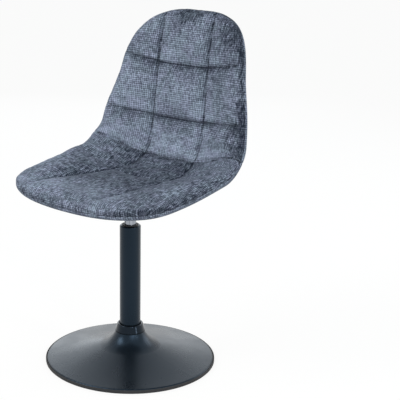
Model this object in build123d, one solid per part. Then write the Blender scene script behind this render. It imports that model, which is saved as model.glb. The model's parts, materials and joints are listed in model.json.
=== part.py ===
from build123d import *
import math
import os

# Swivel dining chair: quilted bucket seat on a gas-lift column and a trumpet base.
# Frame in millimetres: origin on the floor at the column's axis, +Z up,
# the chair faces -Y and the sitter's left hand is at +X.

# ---------------------------------------------------------------- clearances
SEAT_GAP = 0.3        # between curved pieces that rest on each other
RUNNING_GAP = 0.06    # radial, round a shaft that turns or slides
PRESS_GAP = 0.05      # radial, round a fixed shaft, pin or taper
FREE_GAP = 0.8        # round a tube that passes through a trim ring

# ---------------------------------------------------------------- trumpet base
RIM_R = 205.0             # outer radius of the floor ring
RING_H = 8.0              # height of the floor ring
RING_W = 17.0             # width of the face that stands on the floor
RING_LEDGE_H = 3.0        # floor ring under the bottom plate
RING_WALL = 2.2           # floor ring outside the dish's lip
DISH_T = 2.0              # sheet of the dish
DISH_RIM_Z = 9.5          # top of the flare at the rim
DISH_ROLL_R = 4.0         # radius of the roll at the rim
RING_EDGE = 1.2           # bevels of the floor ring
NECK_R = 35.2             # outer radius of the dish at its top edge
NECK_Z = 72.5             # top edge of the dish
NECK_SLOPE = 68.0         # slope of the flare at the neck, degrees
NECK_FLARE_R = 60.0       # radius of the flare below the neck
KNEE_SLOPE = 16.0         # slope where the two radii of the flare meet
BOTTOM_T = 2.0            # bottom plate
BOTTOM_HOLE_R = 27.0      # its centre hole
BALLAST_IN_R = 66.0
BALLAST_OUT_R = 150.0
BALLAST_H = 9.0           # height of the ballast ring at its inner edge
BALLAST_GAP = 0.8         # left between its outer edge and the dish
BALLAST_BEVEL = 3.0
GUSSET_T = 4.0
GUSSET_L = 31.0
GUSSET_H = 26.0
GUSSET_TOE_H = 4.0
GUSSET_COUNT = 4
GUSSET_START = 45.0       # turn of the first web, degrees

# ---------------------------------------------------------------- column
COLUMN_R = 25.0
COLUMN_T = 2.0
COLUMN_TOP_Z = 339.5
COLUMN_FOOT_Z = 10.0
COLUMN_FOOT_T = 4.0
COLUMN_FOOT_R = 24.2      # radius at the foot of its taper
COLUMN_TAPER_GAP = 4.0    # straight part of the column in the top of the hub socket
COLUMN_LIP_R = 19.8       # edge that is rolled in at the top
COLUMN_LIP_ROUND = 4.0
SOCKET_R = 33.0           # hub socket
SOCKET_RISE = 5.5         # how far the hub socket stands out of the dish's neck
COLLAR_FOOT_R = 36.0
COLLAR_TOP_R = 31.2
COLLAR_H = 19.7
COLLAR_ROUND = 2.2
COLLAR_BAND_H = 2.4       # band round the collar's foot
COLLAR_BAND_T = 0.5
BUSH_L = 88.0
BUSH_NOSE_H = 1.5         # how far the bush stands out of the column

# ---------------------------------------------------------------- gas lift
LIFT_TRAVEL = 120.0
CYLINDER_R = 14.0
CYLINDER_T = 1.5
CYLINDER_FOOT_Z = 46.0
CYLINDER_TOP_Z = 396.0
TAPER_L = 32.0            # tapered top that wedges in the seat's socket
TAPER_TOP_R = 13.1
TOP_WALL = 3.0
INNER_TUBE_BORE_R = 9.5
INNER_TUBE_T = 1.0
GLAND_H = 20.0
VALVE_H = 26.0
ROD_R = 5.0
ROD_FOOT_Z = 5.2
PISTON_H = 14.0
PISTON_STOP_GAP = 4.0     # left between piston and gland at full height
PISTON_RING_H = 3.0
PISTON_RING_DEPTH = 1.6
PISTON_GAP = 0.15         # radial, between piston and inner tube
STUD_R = 3.5              # stud at the rod's top
RIVET_H = 2.0
SHOULDER_R = 7.0          # shoulder that sits on the upper race
SHOULDER_H = 2.5
BUMP_R = 12.5
BUMP_WAIST = 1.5
BUTTON_R = 4.0
BUTTON_STAND = 5.0        # how far the valve button stands out
BUTTON_STROKE = 3.6
BUTTON_STEM_R = 2.5
BUTTON_SHOULDER_Z = 383.0 # underside of the button's head
BUTTON_DOME = 1.0
RACE_T = 2.0
RACE_R = 17.0
BALL_R = 2.0
BALL_CIRCLE_R = 11.5
BALL_COUNT = 10
CAGE_T = 1.6
CAGE_WALL = 1.5
CLIP_T = 1.2
FOOT_WASHER_T = 1.5
FOOT_WASHER_R = 11.0
CLIP_Z = 7.1
CLIP_R = 8.0
CLIP_MOUTH_W = 6.0
CLIP_GROOVE_DEPTH = 1.0

# ---------------------------------------------------------------- seat mechanism
PLATE_MARGIN = 17.5       # seat plate outside the bolts' centres
PLATE_T = 2.5
PLATE_TOP_Z = 414.0
PLATE_FLANGE_H = 13.0
PLATE_CORNER_R = 16.0
PLATE_EDGE_R = 4.0
PLATE_NOTCH_W = 18.0
BOLT_SPACING = 130.0
BOLT_R = 3.0
BOLT_HEAD_R = 5.6
BOLT_HEAD_H = 3.6
BOLT_HOLE_R = 3.4
WASHER_R = 7.5
WASHER_T = 1.4
SPACER_R = 11.0
TEE_FLANGE_R = 9.0
TEE_FLANGE_T = 1.4
TEE_BARREL_R = 4.1
TEE_BARREL_L = 5.0
TAPER_SOCKET_T = 5.0
TAPER_MOUTH_GAP = 2.0     # straight part of the cylinder above the socket's mouth
LEVER_R = 4.0
LEVER_PIVOT_X = -30.0
LEVER_INNER_X = 2.0
LEVER_DROP = 12.0         # how far the outer arm lies below the inner one
LEVER_OUTER_X = -196.0
LEVER_BEND_X = 14.0       # from the pivot to the first bend
LEVER_BEND_R = 9.0
LEVER_SWING = 3.8         # how far the inner end dips at full lift
GRIP_L = 66.0
GRIP_R = 8.5
GRIP_END_T = 3.0
GRIP_WAIST = 2.0
GRIP_TIP_SHARE = 0.15
GRIP_TIP_R_SHARE = 0.85
PIVOT_R = 2.0
PIN_HEAD = 1.2
EAR_T = 2.5
EAR_W = 12.0
WINDOW_GAP = 1.5          # round the lever where it enters the socket

# ---------------------------------------------------------------- shell and padding
# The shell follows a line in the chair's middle plane: seat, bend, back, rolled-back top.
SHELL_T = 8.0
SHELL_Z = 426.5           # middle of the shell over the column
FRONT_Y = -223.0          # front edge
SEAT_RUN = 291.7          # flat run of the seat
BEND_R = 124.5            # bend between seat and back
BEND_ANGLE = 81.0
BACK_RUN = 129.0          # straight run of the back
CROWN_R = 640.0           # the top of the back leans away on this radius
CROWN_ANGLE = 15.0
RIM_COVER = 12.0          # padding outside the shell's edge
FRONT_ROUND = 115.0       # length over which the front corners close
TOP_ROUND = 150.0         # length over which the top corners close
FRONT_POWER = 2.82        # fullness of the rounded front corners
TOP_POWER = 2.78          # fullness of the rounded top corners
# Half width of the padded shell and rise of its sides, each at a distance along the line.
HALF_WIDTH = ((0, 211), (60, 225), (190, 239), (316, 234), (414, 229), (511, 215), (617, 187),
              (770, 160))
SIDE_RISE = ((0, 11), (113, 22), (263, 46), (376, 60), (466, 52), (602, 37), (770, 28))
PAD_CROWN = 25.0          # padding over the shell in the middle of a panel
PAD_SEAM = 17.0           # padding under a seam
PAD_SHOULDER = 15.0       # padding where the top rolls over to the rim
RIM_ROLL = 8.0            # how far in the roll starts
REAR_PAD = 6.0            # padding and cloth behind the shell
EDGE_ROUND = 16.0         # length over which the padding thins at front and top
# Seams across the padding, as distances along the line.
SEAT_SEAM = 261.0
FOLD_SEAM = 388.0
BACK_SEAMS = (500.0, 628.0)
SEAMS = (SEAT_SEAM, FOLD_SEAM, *BACK_SEAMS)
# Half spacing of the two long seams at a distance along the line.
LONG_SEAMS = ((0, 108), (130, 104), (261, 91), (381, 81), (490, 81), (617, 79), (770, 76))
SEAM_BITE = 1.0           # extra depth of a long seam under the cross seams
COVER_ROLL_SHARE = 0.45   # where the cover's roll is fullest, as a share of the roll
COVER_BULGE = 0.6
RIM_WIDEST_SHARE = 0.45   # height of the rim's widest line, as a share of the shoulder's
END_STEPS = (0.5, 2.0, 5.0, 10.0, 17.0, 30.0, 55.0, 90.0)   # sections near the closed ends
PUFF_LENGTH = 40.0        # how far from a cross seam a panel is full
CHANNEL_STEPS = (8.0, 22.0)   # sections beside a seam, where its channel bends
SEAM_RIM_SHARE = 0.46     # most that a long seam may lie towards the rim at the closed ends
SEAM_FADE = 90.0          # the seat's long seams fade out over this length at the front
SIDE_CROWN = 0.8          # puff of the side panels against the middle one
RIM_FOOT_SHARE = 0.35     # how far the foot of the rim is drawn in, as a share of the roll
STATION_STEP = 45.0       # widest spacing of a cushion's sections
END_LIP = 0.5             # flat left at the closed ends

# ---------------------------------------------------------------- places that follow from the sizes
DISH_LIP_R = RIM_R - RING_WALL - SEAT_GAP
LIP_FOOT_Z = RING_LEDGE_H + SEAT_GAP
BOTTOM_TOP_Z = RING_LEDGE_H + BOTTOM_T
SOCKET_TOP_Z = NECK_Z + SOCKET_RISE
COLUMN_TAPER_TOP_Z = SOCKET_TOP_Z - COLUMN_TAPER_GAP
COLLAR_TOP_Z = NECK_Z + SEAT_GAP + COLLAR_H
COLUMN_BORE_R = COLUMN_R - COLUMN_T
COLUMN_FLOOR_Z = COLUMN_FOOT_Z + COLUMN_FOOT_T
BUSH_TOP_Z = COLUMN_TOP_Z - COLUMN_T - SEAT_GAP
BALL_Z = COLUMN_FLOOR_Z + RACE_T + PRESS_GAP + BALL_R
UPPER_RACE_Z = BALL_Z + BALL_R + PRESS_GAP
SHOULDER_Z = UPPER_RACE_Z + RACE_T + PRESS_GAP
CYLINDER_BORE_R = CYLINDER_R - CYLINDER_T
GLAND_Z = CYLINDER_FOOT_Z + CYLINDER_T + PRESS_GAP
PISTON_Z = GLAND_Z + GLAND_H + LIFT_TRAVEL + PISTON_STOP_GAP
TAPER_FOOT_Z = CYLINDER_TOP_Z - TAPER_L
VALVE_TOP_Z = CYLINDER_TOP_Z - TOP_WALL - PRESS_GAP
VALVE_FOOT_Z = VALVE_TOP_Z - VALVE_H
BUTTON_TOP_Z = CYLINDER_TOP_Z + BUTTON_STAND
PLATE_W = BOLT_SPACING + 2 * PLATE_MARGIN
PLATE_UNDER_Z = PLATE_TOP_Z - PLATE_T
LEVER_Z = BUTTON_TOP_Z + SEAT_GAP + LEVER_R
OUTER_LEVER_Z = LEVER_Z - LEVER_DROP
TEE_SEAT_Z = SHELL_Z + SHELL_T / 2 - TEE_FLANGE_T
BOLT_PLACES = [(x, y) for x in (-BOLT_SPACING / 2, BOLT_SPACING / 2)
               for y in (-BOLT_SPACING / 2, BOLT_SPACING / 2)]
LINE_LENGTH = (SEAT_RUN + BEND_R * math.radians(BEND_ANGLE) + BACK_RUN
               + CROWN_R * math.radians(CROWN_ANGLE))


# ---------------------------------------------------------------- helpers
def turned(*stretches):
    """A turned piece: its outline in (radius, height), turned about the column's axis.

    A stretch of two points is a line and one of three is an arc through its middle point.
    """
    edges = []
    for stretch in stretches:
        points = [(radius, 0, height) for radius, height in stretch]
        edges.append(Line(*points) if len(points) == 2 else ThreePointArc(*points))
    return revolve(make_face(edges), Axis.Z)


def turned_lines(*points):
    """A turned piece whose outline is all straight lines, closed back to the first point."""
    return turned(*zip(points, points[1:] + points[:1]))


def ring(outer, inner, low, high):
    """A plain ring or washer about the column's axis."""
    return turned_lines((inner, low), (outer, low), (outer, high), (inner, high))


def bar(radius, start, end):
    """A round bar between two points."""
    axis = Vector(*end) - Vector(*start)
    return Solid.make_cylinder(radius, axis.length, Plane(origin=start, z_dir=axis))


def block(low, high):
    """A box between two corners."""
    size = [b - a for a, b in zip(low, high)]
    middle = [(a + b) / 2 for a, b in zip(low, high)]
    return Pos(*middle) * Box(*size)


def at_bolts(piece):
    """One copy of a piece at each seat bolt."""
    return [Pos(x, y, 0) * piece for x, y in BOLT_PLACES]


def save(pieces, node):
    """Write one node, from one piece or from a group of separate ones."""
    if isinstance(pieces, list):
        pieces = Compound(children=pieces)
    export_step(pieces, f"parts/{node}.step")


# ---------------------------------------------------------------- trumpet base
class Flare:
    """The dish's outline: two hollow radii that meet at the knee, then a roll at the rim."""

    def __init__(self):
        self.neck = (NECK_R, NECK_Z)
        self.upper = self.step(self.neck, NECK_SLOPE, NECK_FLARE_R)
        knee = self.step(self.upper, KNEE_SLOPE, -NECK_FLARE_R)
        self.roll = (DISH_LIP_R - DISH_ROLL_R, DISH_RIM_Z - DISH_ROLL_R)
        gap = (knee[0] - self.roll[0], knee[1] - self.roll[1])
        slope = math.radians(KNEE_SLOPE)
        toward = math.sin(slope) * gap[0] + math.cos(slope) * gap[1]
        self.lower_r = (gap[0] ** 2 + gap[1] ** 2 - DISH_ROLL_R ** 2) / (2 * (DISH_ROLL_R - toward))
        self.lower = self.step(knee, KNEE_SLOPE, self.lower_r)
        outward = (self.lower[0] - self.roll[0]) / (self.lower_r + DISH_ROLL_R)
        self.rim_slope = math.degrees(math.asin(outward))

    @staticmethod
    def step(point, slope, distance):
        """A point moved square to a surface that falls outwards at a slope in degrees."""
        angle = math.radians(slope)
        return point[0] + distance * math.sin(angle), point[1] + distance * math.cos(angle)

    def arc(self, centre, radius, first, last):
        """Three points of an arc about a centre, from one slope to another."""
        return tuple(self.step(centre, slope, radius) for slope in (first, (first + last) / 2, last))

    def skin(self, depth):
        """The dish's face at a depth below its outside, from the neck to the lip's foot."""
        lip = DISH_LIP_R - depth
        return [
            self.arc(self.upper, -NECK_FLARE_R - depth, NECK_SLOPE, KNEE_SLOPE),
            self.arc(self.lower, -self.lower_r - depth, KNEE_SLOPE, self.rim_slope),
            self.arc(self.roll, DISH_ROLL_R - depth, self.rim_slope, 90.0),
            ((lip, self.roll[1]), (lip, LIP_FOOT_Z)),
        ]

    def under(self, radius):
        """Height of the dish's inner face at a radius between the knee and the rim."""
        out = self.lower[0] - radius
        return self.lower[1] - math.sqrt((self.lower_r + DISH_T) ** 2 - out ** 2)


def base_dish():
    """Pressed trumpet dish: one sheet from the neck to the lip that turns down into the ring."""
    flare = Flare()
    outside, inside = flare.skin(0), flare.skin(DISH_T)
    foot = (outside[-1][-1], inside[-1][-1])
    neck = (inside[0][0], outside[0][0])
    return turned(*outside, foot, *inside, neck)


def floor_ring():
    """Rubber ring that the chair stands on; the dish's lip and the bottom plate sit in it."""
    inner, wall = RIM_R - RING_W, RIM_R - RING_WALL
    return turned_lines(
        (inner, 0), (RIM_R - RING_EDGE, 0), (RIM_R, RING_EDGE), (RIM_R, RING_H - RING_EDGE),
        (RIM_R - RING_EDGE, RING_H), (wall, RING_H), (wall, RING_LEDGE_H), (inner, RING_LEDGE_H))


def bottom_plate():
    """Round plate that closes the dish and carries the hub and the ballast."""
    return ring(DISH_LIP_R - DISH_T - SEAT_GAP, BOTTOM_HOLE_R, RING_LEDGE_H, BOTTOM_TOP_Z)


def ballast_ring():
    """Cast ring on the bottom plate, bevelled, its outer edge as high as the dish allows."""
    top, edge = BOTTOM_TOP_Z + BALLAST_H, Flare().under(BALLAST_OUT_R) - BALLAST_GAP
    return turned_lines(
        (BALLAST_IN_R, BOTTOM_TOP_Z), (BALLAST_OUT_R, BOTTOM_TOP_Z),
        (BALLAST_OUT_R, edge - BALLAST_BEVEL), (BALLAST_OUT_R - BALLAST_BEVEL, edge),
        (BALLAST_IN_R + BALLAST_BEVEL, top), (BALLAST_IN_R, top - BALLAST_BEVEL))


def hub_socket():
    """Tube on the bottom plate with a tapered bore that the column's foot wedges in."""
    foot, top = COLUMN_FOOT_R + PRESS_GAP, COLUMN_R + PRESS_GAP
    return turned_lines(
        (foot, BOTTOM_TOP_Z), (SOCKET_R, BOTTOM_TOP_Z), (SOCKET_R, SOCKET_TOP_Z),
        (top, SOCKET_TOP_Z), (top, COLUMN_TAPER_TOP_Z), (foot, COLUMN_FOOT_Z))


def hub_gussets():
    """Webs that brace the hub socket on the bottom plate."""
    inner, outer, foot = SOCKET_R, SOCKET_R + GUSSET_L, BOTTOM_TOP_Z
    outline = Polyline([(inner, 0, foot), (outer, 0, foot), (outer, 0, foot + GUSSET_TOE_H),
                        (inner, 0, foot + GUSSET_H)], close=True)
    web = extrude(make_face(outline), GUSSET_T / 2, both=True)
    turns = [360 * gusset / GUSSET_COUNT + GUSSET_START for gusset in range(GUSSET_COUNT)]
    return [Rot(0, 0, turn) * web for turn in turns]


def base_collar():
    """Conical trim ring over the dish's neck, with a rounded top and a gap round the column."""
    bore, foot = COLUMN_R + FREE_GAP, NECK_Z + SEAT_GAP
    inner, step = SOCKET_R + SEAT_GAP, SOCKET_TOP_Z + SEAT_GAP
    crown = ((COLLAR_TOP_R + bore) / 2, COLLAR_TOP_Z)
    shoulder = (COLLAR_TOP_R, COLLAR_TOP_Z - COLLAR_ROUND)
    mouth = (bore, COLLAR_TOP_Z - COLLAR_ROUND)
    band_top = foot + COLLAR_BAND_H
    return turned(
        ((inner, foot), (COLLAR_FOOT_R, foot)), ((COLLAR_FOOT_R, foot), (COLLAR_FOOT_R, band_top)),
        ((COLLAR_FOOT_R, band_top), (COLLAR_FOOT_R - COLLAR_BAND_T, band_top)),
        ((COLLAR_FOOT_R - COLLAR_BAND_T, band_top), shoulder), (shoulder, crown, mouth),
        (mouth, (bore, step)), ((bore, step), (inner, step)), ((inner, step), (inner, foot)))


# ---------------------------------------------------------------- column and its bearing
def column_tube():
    """Outer tube: tapered foot with a floor in it, and a top edge rolled in over the bush."""
    straight = COLUMN_TOP_Z - COLUMN_LIP_ROUND
    turn = COLUMN_LIP_ROUND * (1 - math.sqrt(0.5))
    inner_turn = (COLUMN_LIP_ROUND - COLUMN_T) * (1 - math.sqrt(0.5))
    lip_in, under = COLUMN_R - COLUMN_LIP_ROUND, COLUMN_TOP_Z - COLUMN_T
    hole = ROD_R + SEAT_GAP
    return turned(
        ((hole, COLUMN_FOOT_Z), (COLUMN_FOOT_R, COLUMN_FOOT_Z)),
        ((COLUMN_FOOT_R, COLUMN_FOOT_Z), (COLUMN_R, COLUMN_TAPER_TOP_Z)),
        ((COLUMN_R, COLUMN_TAPER_TOP_Z), (COLUMN_R, straight)),
        ((COLUMN_R, straight), (COLUMN_R - turn, COLUMN_TOP_Z - turn), (lip_in, COLUMN_TOP_Z)),
        ((lip_in, COLUMN_TOP_Z), (COLUMN_LIP_R, COLUMN_TOP_Z)),
        ((COLUMN_LIP_R, COLUMN_TOP_Z), (COLUMN_LIP_R, under)), ((COLUMN_LIP_R, under), (lip_in, under)),
        ((lip_in, under), (COLUMN_BORE_R - inner_turn, under - inner_turn), (COLUMN_BORE_R, straight)),
        ((COLUMN_BORE_R, straight), (COLUMN_BORE_R, COLUMN_FLOOR_Z)),
        ((COLUMN_BORE_R, COLUMN_FLOOR_Z), (hole, COLUMN_FLOOR_Z)),
        ((hole, COLUMN_FLOOR_Z), (hole, COLUMN_FOOT_Z)))


def guide_bush():
    """Plastic sleeve that guides the cylinder, held under the column's rolled edge."""
    bore, outer = CYLINDER_R + RUNNING_GAP, COLUMN_BORE_R - PRESS_GAP
    nose, nose_top = COLUMN_LIP_R - SEAT_GAP, COLUMN_TOP_Z + BUSH_NOSE_H
    corner = BUSH_TOP_Z - COLUMN_T
    return turned_lines(
        (bore, BUSH_TOP_Z - BUSH_L), (outer, BUSH_TOP_Z - BUSH_L), (outer, corner),
        (outer - COLUMN_T, BUSH_TOP_Z), (nose, BUSH_TOP_Z), (nose, nose_top), (bore, nose_top))


def lower_race():
    """Washer on the column's floor that the balls roll on."""
    return ring(RACE_R, ROD_R + SEAT_GAP, COLUMN_FLOOR_Z, COLUMN_FLOOR_Z + RACE_T)


def ball_spots():
    """Centres of the balls, evenly round the rod."""
    steps = [2 * math.pi * ball / BALL_COUNT for ball in range(BALL_COUNT)]
    return [(BALL_CIRCLE_R * math.cos(turn), BALL_CIRCLE_R * math.sin(turn), BALL_Z) for turn in steps]


def bearing_balls():
    """Balls of the thrust bearing."""
    return [Pos(*spot) * Sphere(BALL_R) for spot in ball_spots()]


def bearing_cage():
    """Flat ring that keeps the balls apart."""
    half = BALL_R + CAGE_WALL
    cage = ring(BALL_CIRCLE_R + half, BALL_CIRCLE_R - half, BALL_Z - CAGE_T / 2, BALL_Z + CAGE_T / 2)
    for x, y, z in ball_spots():
        cage -= Pos(x, y, z) * Cylinder(BALL_R + 2 * PRESS_GAP, 2 * CAGE_T)
    return cage


def upper_race():
    """Washer that turns with the rod on top of the balls."""
    return ring(RACE_R, ROD_R + PRESS_GAP, UPPER_RACE_Z, UPPER_RACE_Z + RACE_T)


# ---------------------------------------------------------------- rod and piston
def piston_rod():
    """Rod with a clip groove at its foot, a shoulder on the bearing and a riveted top stud."""
    groove_low, groove_high = CLIP_Z - PRESS_GAP, CLIP_Z + CLIP_T + PRESS_GAP
    groove_r, shoulder_top = ROD_R - CLIP_GROOVE_DEPTH, SHOULDER_Z + SHOULDER_H
    stud_foot, stud_top = PISTON_Z - PRESS_GAP, PISTON_Z + PISTON_H + PRESS_GAP
    return turned_lines(
        (0, ROD_FOOT_Z), (groove_r, ROD_FOOT_Z), (ROD_R, ROD_FOOT_Z + CLIP_GROOVE_DEPTH),
        (ROD_R, groove_low), (groove_r, groove_low), (groove_r, groove_high), (ROD_R, groove_high),
        (ROD_R, SHOULDER_Z), (SHOULDER_R, SHOULDER_Z), (SHOULDER_R, shoulder_top),
        (ROD_R, shoulder_top), (ROD_R, stud_foot), (STUD_R, stud_foot), (STUD_R, stud_top),
        (ROD_R, stud_top), (STUD_R, stud_top + RIVET_H), (0, stud_top + RIVET_H))


def foot_washer():
    """Washer between the column's floor and the clip."""
    top = COLUMN_FOOT_Z - 2 * PRESS_GAP
    return ring(FOOT_WASHER_R, ROD_R + PRESS_GAP, top - FOOT_WASHER_T, top)


def retaining_clip():
    """Open clip in the rod's groove that keeps the column on the rod."""
    clip = ring(CLIP_R, ROD_R - CLIP_GROOVE_DEPTH + PRESS_GAP, CLIP_Z, CLIP_Z + CLIP_T)
    half = CLIP_MOUTH_W / 2
    mouth = block((0, -half, CLIP_Z - CLIP_T), (CLIP_R + CLIP_T, half, CLIP_Z + 2 * CLIP_T))
    return clip - mouth


def bump_stop():
    """Rubber sleeve that the cylinder's foot comes down on."""
    low, high = SHOULDER_Z + SHOULDER_H + PRESS_GAP, CYLINDER_FOOT_Z - SEAT_GAP
    inner, waist = ROD_R + PRESS_GAP, BUMP_R - BUMP_WAIST
    middle = (low + high) / 2
    return turned(((inner, low), (BUMP_R, low)), ((BUMP_R, low), (waist, middle), (BUMP_R, high)),
                  ((BUMP_R, high), (inner, high)), ((inner, high), (inner, low)))


def piston():
    """Piston on the rod's top stud, with a groove for its ring."""
    outer, inner = INNER_TUBE_BORE_R - PISTON_GAP, STUD_R + PRESS_GAP
    groove, top = outer - PISTON_RING_DEPTH, PISTON_Z + PISTON_H
    low = PISTON_Z + (PISTON_H - PISTON_RING_H) / 2
    high = low + PISTON_RING_H
    return turned_lines((inner, PISTON_Z), (outer, PISTON_Z), (outer, low), (groove, low),
                        (groove, high), (outer, high), (outer, top), (inner, top))


def piston_ring():
    """Rubber ring in the piston's groove that seals against the inner tube."""
    middle, half = PISTON_Z + PISTON_H / 2, PISTON_RING_H / 2 - PRESS_GAP
    outer = INNER_TUBE_BORE_R - RUNNING_GAP
    inner = INNER_TUBE_BORE_R - PISTON_GAP - PISTON_RING_DEPTH + PRESS_GAP
    return ring(outer, inner, middle - half, middle + half)


# ---------------------------------------------------------------- cylinder
def gas_cylinder():
    """Chrome cylinder: straight body, tapered top with a hole for the button, rolled-in foot."""
    foot, mouth = CYLINDER_FOOT_Z, CYLINDER_BORE_R - CYLINDER_T
    top, under = CYLINDER_TOP_Z, CYLINDER_TOP_Z - TOP_WALL
    hole, bevel = BUTTON_R + SEAT_GAP, CYLINDER_T / 2
    return turned_lines(
        (mouth, foot), (CYLINDER_R - bevel, foot), (CYLINDER_R, foot + bevel),
        (CYLINDER_R, TAPER_FOOT_Z), (TAPER_TOP_R, top - bevel), (TAPER_TOP_R - bevel, top),
        (hole, top), (hole, under), (TAPER_TOP_R - CYLINDER_T, under),
        (CYLINDER_BORE_R, TAPER_FOOT_Z), (CYLINDER_BORE_R, foot + CYLINDER_T),
        (mouth, foot + CYLINDER_T))


def rod_gland():
    """Guide and seal in the cylinder's foot that the rod slides through."""
    inner, outer = ROD_R + RUNNING_GAP, CYLINDER_BORE_R - PRESS_GAP
    return ring(outer, inner, GLAND_Z, GLAND_Z + GLAND_H)


def inner_tube():
    """Thin tube between gland and valve that the piston works in."""
    low, high = GLAND_Z + GLAND_H + PRESS_GAP, VALVE_FOOT_Z - PRESS_GAP
    return ring(INNER_TUBE_BORE_R + INNER_TUBE_T, INNER_TUBE_BORE_R, low, high)


def valve_body():
    """Plug in the cylinder's top with the stepped bore of the button."""
    outer = TAPER_TOP_R - CYLINDER_T - PRESS_GAP
    wide, narrow = BUTTON_R + RUNNING_GAP, BUTTON_STEM_R + RUNNING_GAP
    step = BUTTON_SHOULDER_Z - BUTTON_STROKE - SEAT_GAP
    return turned_lines((narrow, VALVE_FOOT_Z), (outer, VALVE_FOOT_Z), (outer, VALVE_TOP_Z),
                        (wide, VALVE_TOP_Z), (wide, step), (narrow, step))


def valve_button():
    """Button that opens the valve: a domed head on a thin stem."""
    stem_foot = VALVE_FOOT_Z + BUTTON_STROKE + SEAT_GAP
    shoulder, edge = BUTTON_SHOULDER_Z, BUTTON_TOP_Z - BUTTON_DOME
    dome_r = (BUTTON_R ** 2 + BUTTON_DOME ** 2) / (2 * BUTTON_DOME)
    half_turn = math.asin(BUTTON_R / dome_r) / 2
    on_dome = (dome_r * math.sin(half_turn), BUTTON_TOP_Z - dome_r * (1 - math.cos(half_turn)))
    return turned(
        ((0, stem_foot), (BUTTON_STEM_R, stem_foot)),
        ((BUTTON_STEM_R, stem_foot), (BUTTON_STEM_R, shoulder)),
        ((BUTTON_STEM_R, shoulder), (BUTTON_R, shoulder)), ((BUTTON_R, shoulder), (BUTTON_R, edge)),
        ((BUTTON_R, edge), on_dome, (0, BUTTON_TOP_Z)), ((0, BUTTON_TOP_Z), (0, stem_foot)))


# ---------------------------------------------------------------- seat mechanism
def tray(inset, low, high):
    """A rounded block as wide as the seat plate less an inset all round, its top edge filleted."""
    width, corner = PLATE_W - 2 * inset, PLATE_CORNER_R - inset
    body = extrude(Pos(0, 0, low) * RectangleRounded(width, width, corner), high - low)
    return fillet(body.faces().sort_by(Axis.Z)[-1].edges(), PLATE_EDGE_R - inset)


def seat_plate():
    """Pressed plate with rounded corners and turned-down flanges, notched for the lever."""
    foot, half = PLATE_TOP_Z - PLATE_FLANGE_H, PLATE_NOTCH_W / 2
    plate = tray(0.0, foot, PLATE_TOP_Z) - tray(PLATE_T, foot - PLATE_T, PLATE_UNDER_Z)
    plate -= block((-PLATE_W, -half, foot - PLATE_T),
                   (PLATE_EDGE_R - PLATE_W / 2, half, PLATE_UNDER_Z - PLATE_T))
    for hole in at_bolts(bar(BOLT_HOLE_R, (0, 0, foot), (0, 0, PLATE_TOP_Z + PLATE_T))):
        plate -= hole
    return plate


def taper_socket():
    """Tube under the seat plate with a tapered bore for the cylinder and a window for the lever."""
    lean = (CYLINDER_R - TAPER_TOP_R) / (TAPER_L - CYLINDER_T / 2)
    foot = TAPER_FOOT_Z + TAPER_MOUTH_GAP
    wide = CYLINDER_R + PRESS_GAP - lean * TAPER_MOUTH_GAP
    narrow = TAPER_TOP_R + PRESS_GAP
    outer, chamber = CYLINDER_R + TAPER_SOCKET_T, CYLINDER_R + PRESS_GAP
    step = CYLINDER_TOP_Z + PRESS_GAP
    tube = turned_lines((wide, foot), (outer, foot), (outer, PLATE_UNDER_Z),
                        (chamber, PLATE_UNDER_Z), (chamber, step), (narrow, step),
                        (narrow, CYLINDER_TOP_Z - CYLINDER_T / 2))
    half = LEVER_R + WINDOW_GAP
    sill = LEVER_Z - LEVER_R - LEVER_SWING - WINDOW_GAP
    return tube - block((-outer - SEAT_GAP, -half, sill), (0, half, PLATE_UNDER_Z + PLATE_T))


def lever_bracket():
    """Pair of ears under the seat plate that carry the lever's pivot pin."""
    ears = []
    for inner in (LEVER_R + SEAT_GAP, -LEVER_R - SEAT_GAP - EAR_T):
        outer = inner + EAR_T
        plain = block((LEVER_PIVOT_X - EAR_W / 2, inner, LEVER_Z),
                      (LEVER_PIVOT_X + EAR_W / 2, outer, PLATE_UNDER_Z))
        round_foot = bar(EAR_W / 2, (LEVER_PIVOT_X, inner, LEVER_Z), (LEVER_PIVOT_X, outer, LEVER_Z))
        ears.append(plain + round_foot - pin_bar(PIVOT_R + PRESS_GAP, EAR_T))
    return ears


def pin_bar(radius, past=0.0):
    """A bar along the pivot's axis, through both ears and a little past them."""
    half = LEVER_R + SEAT_GAP + EAR_T + past
    return bar(radius, (LEVER_PIVOT_X, -half, LEVER_Z), (LEVER_PIVOT_X, half, LEVER_Z))


def pivot_pin():
    """Pin through the ears and the lever, with a head at each end."""
    half = LEVER_R + SEAT_GAP + EAR_T + PRESS_GAP
    pin = pin_bar(PIVOT_R, PRESS_GAP)
    for side in (-1, 1):
        pin += bar(PIVOT_R + PIN_HEAD, (LEVER_PIVOT_X, side * half, LEVER_Z),
                   (LEVER_PIVOT_X, side * (half + PIN_HEAD), LEVER_Z))
    return pin


def height_lever():
    """Bent bar: its inner end lies over the valve button and its outer arm runs to the right."""
    bend_x = LEVER_PIVOT_X - LEVER_BEND_X
    path = FilletPolyline(
        (LEVER_INNER_X, 0, LEVER_Z), (bend_x, 0, LEVER_Z), (bend_x - LEVER_DROP, 0, OUTER_LEVER_Z),
        (LEVER_OUTER_X, 0, OUTER_LEVER_Z), radius=LEVER_BEND_R)
    lever = sweep(Plane(origin=path @ 0, z_dir=path % 0) * Circle(LEVER_R), path)
    return lever - pin_bar(PIVOT_R + RUNNING_GAP, EAR_T)


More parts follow.
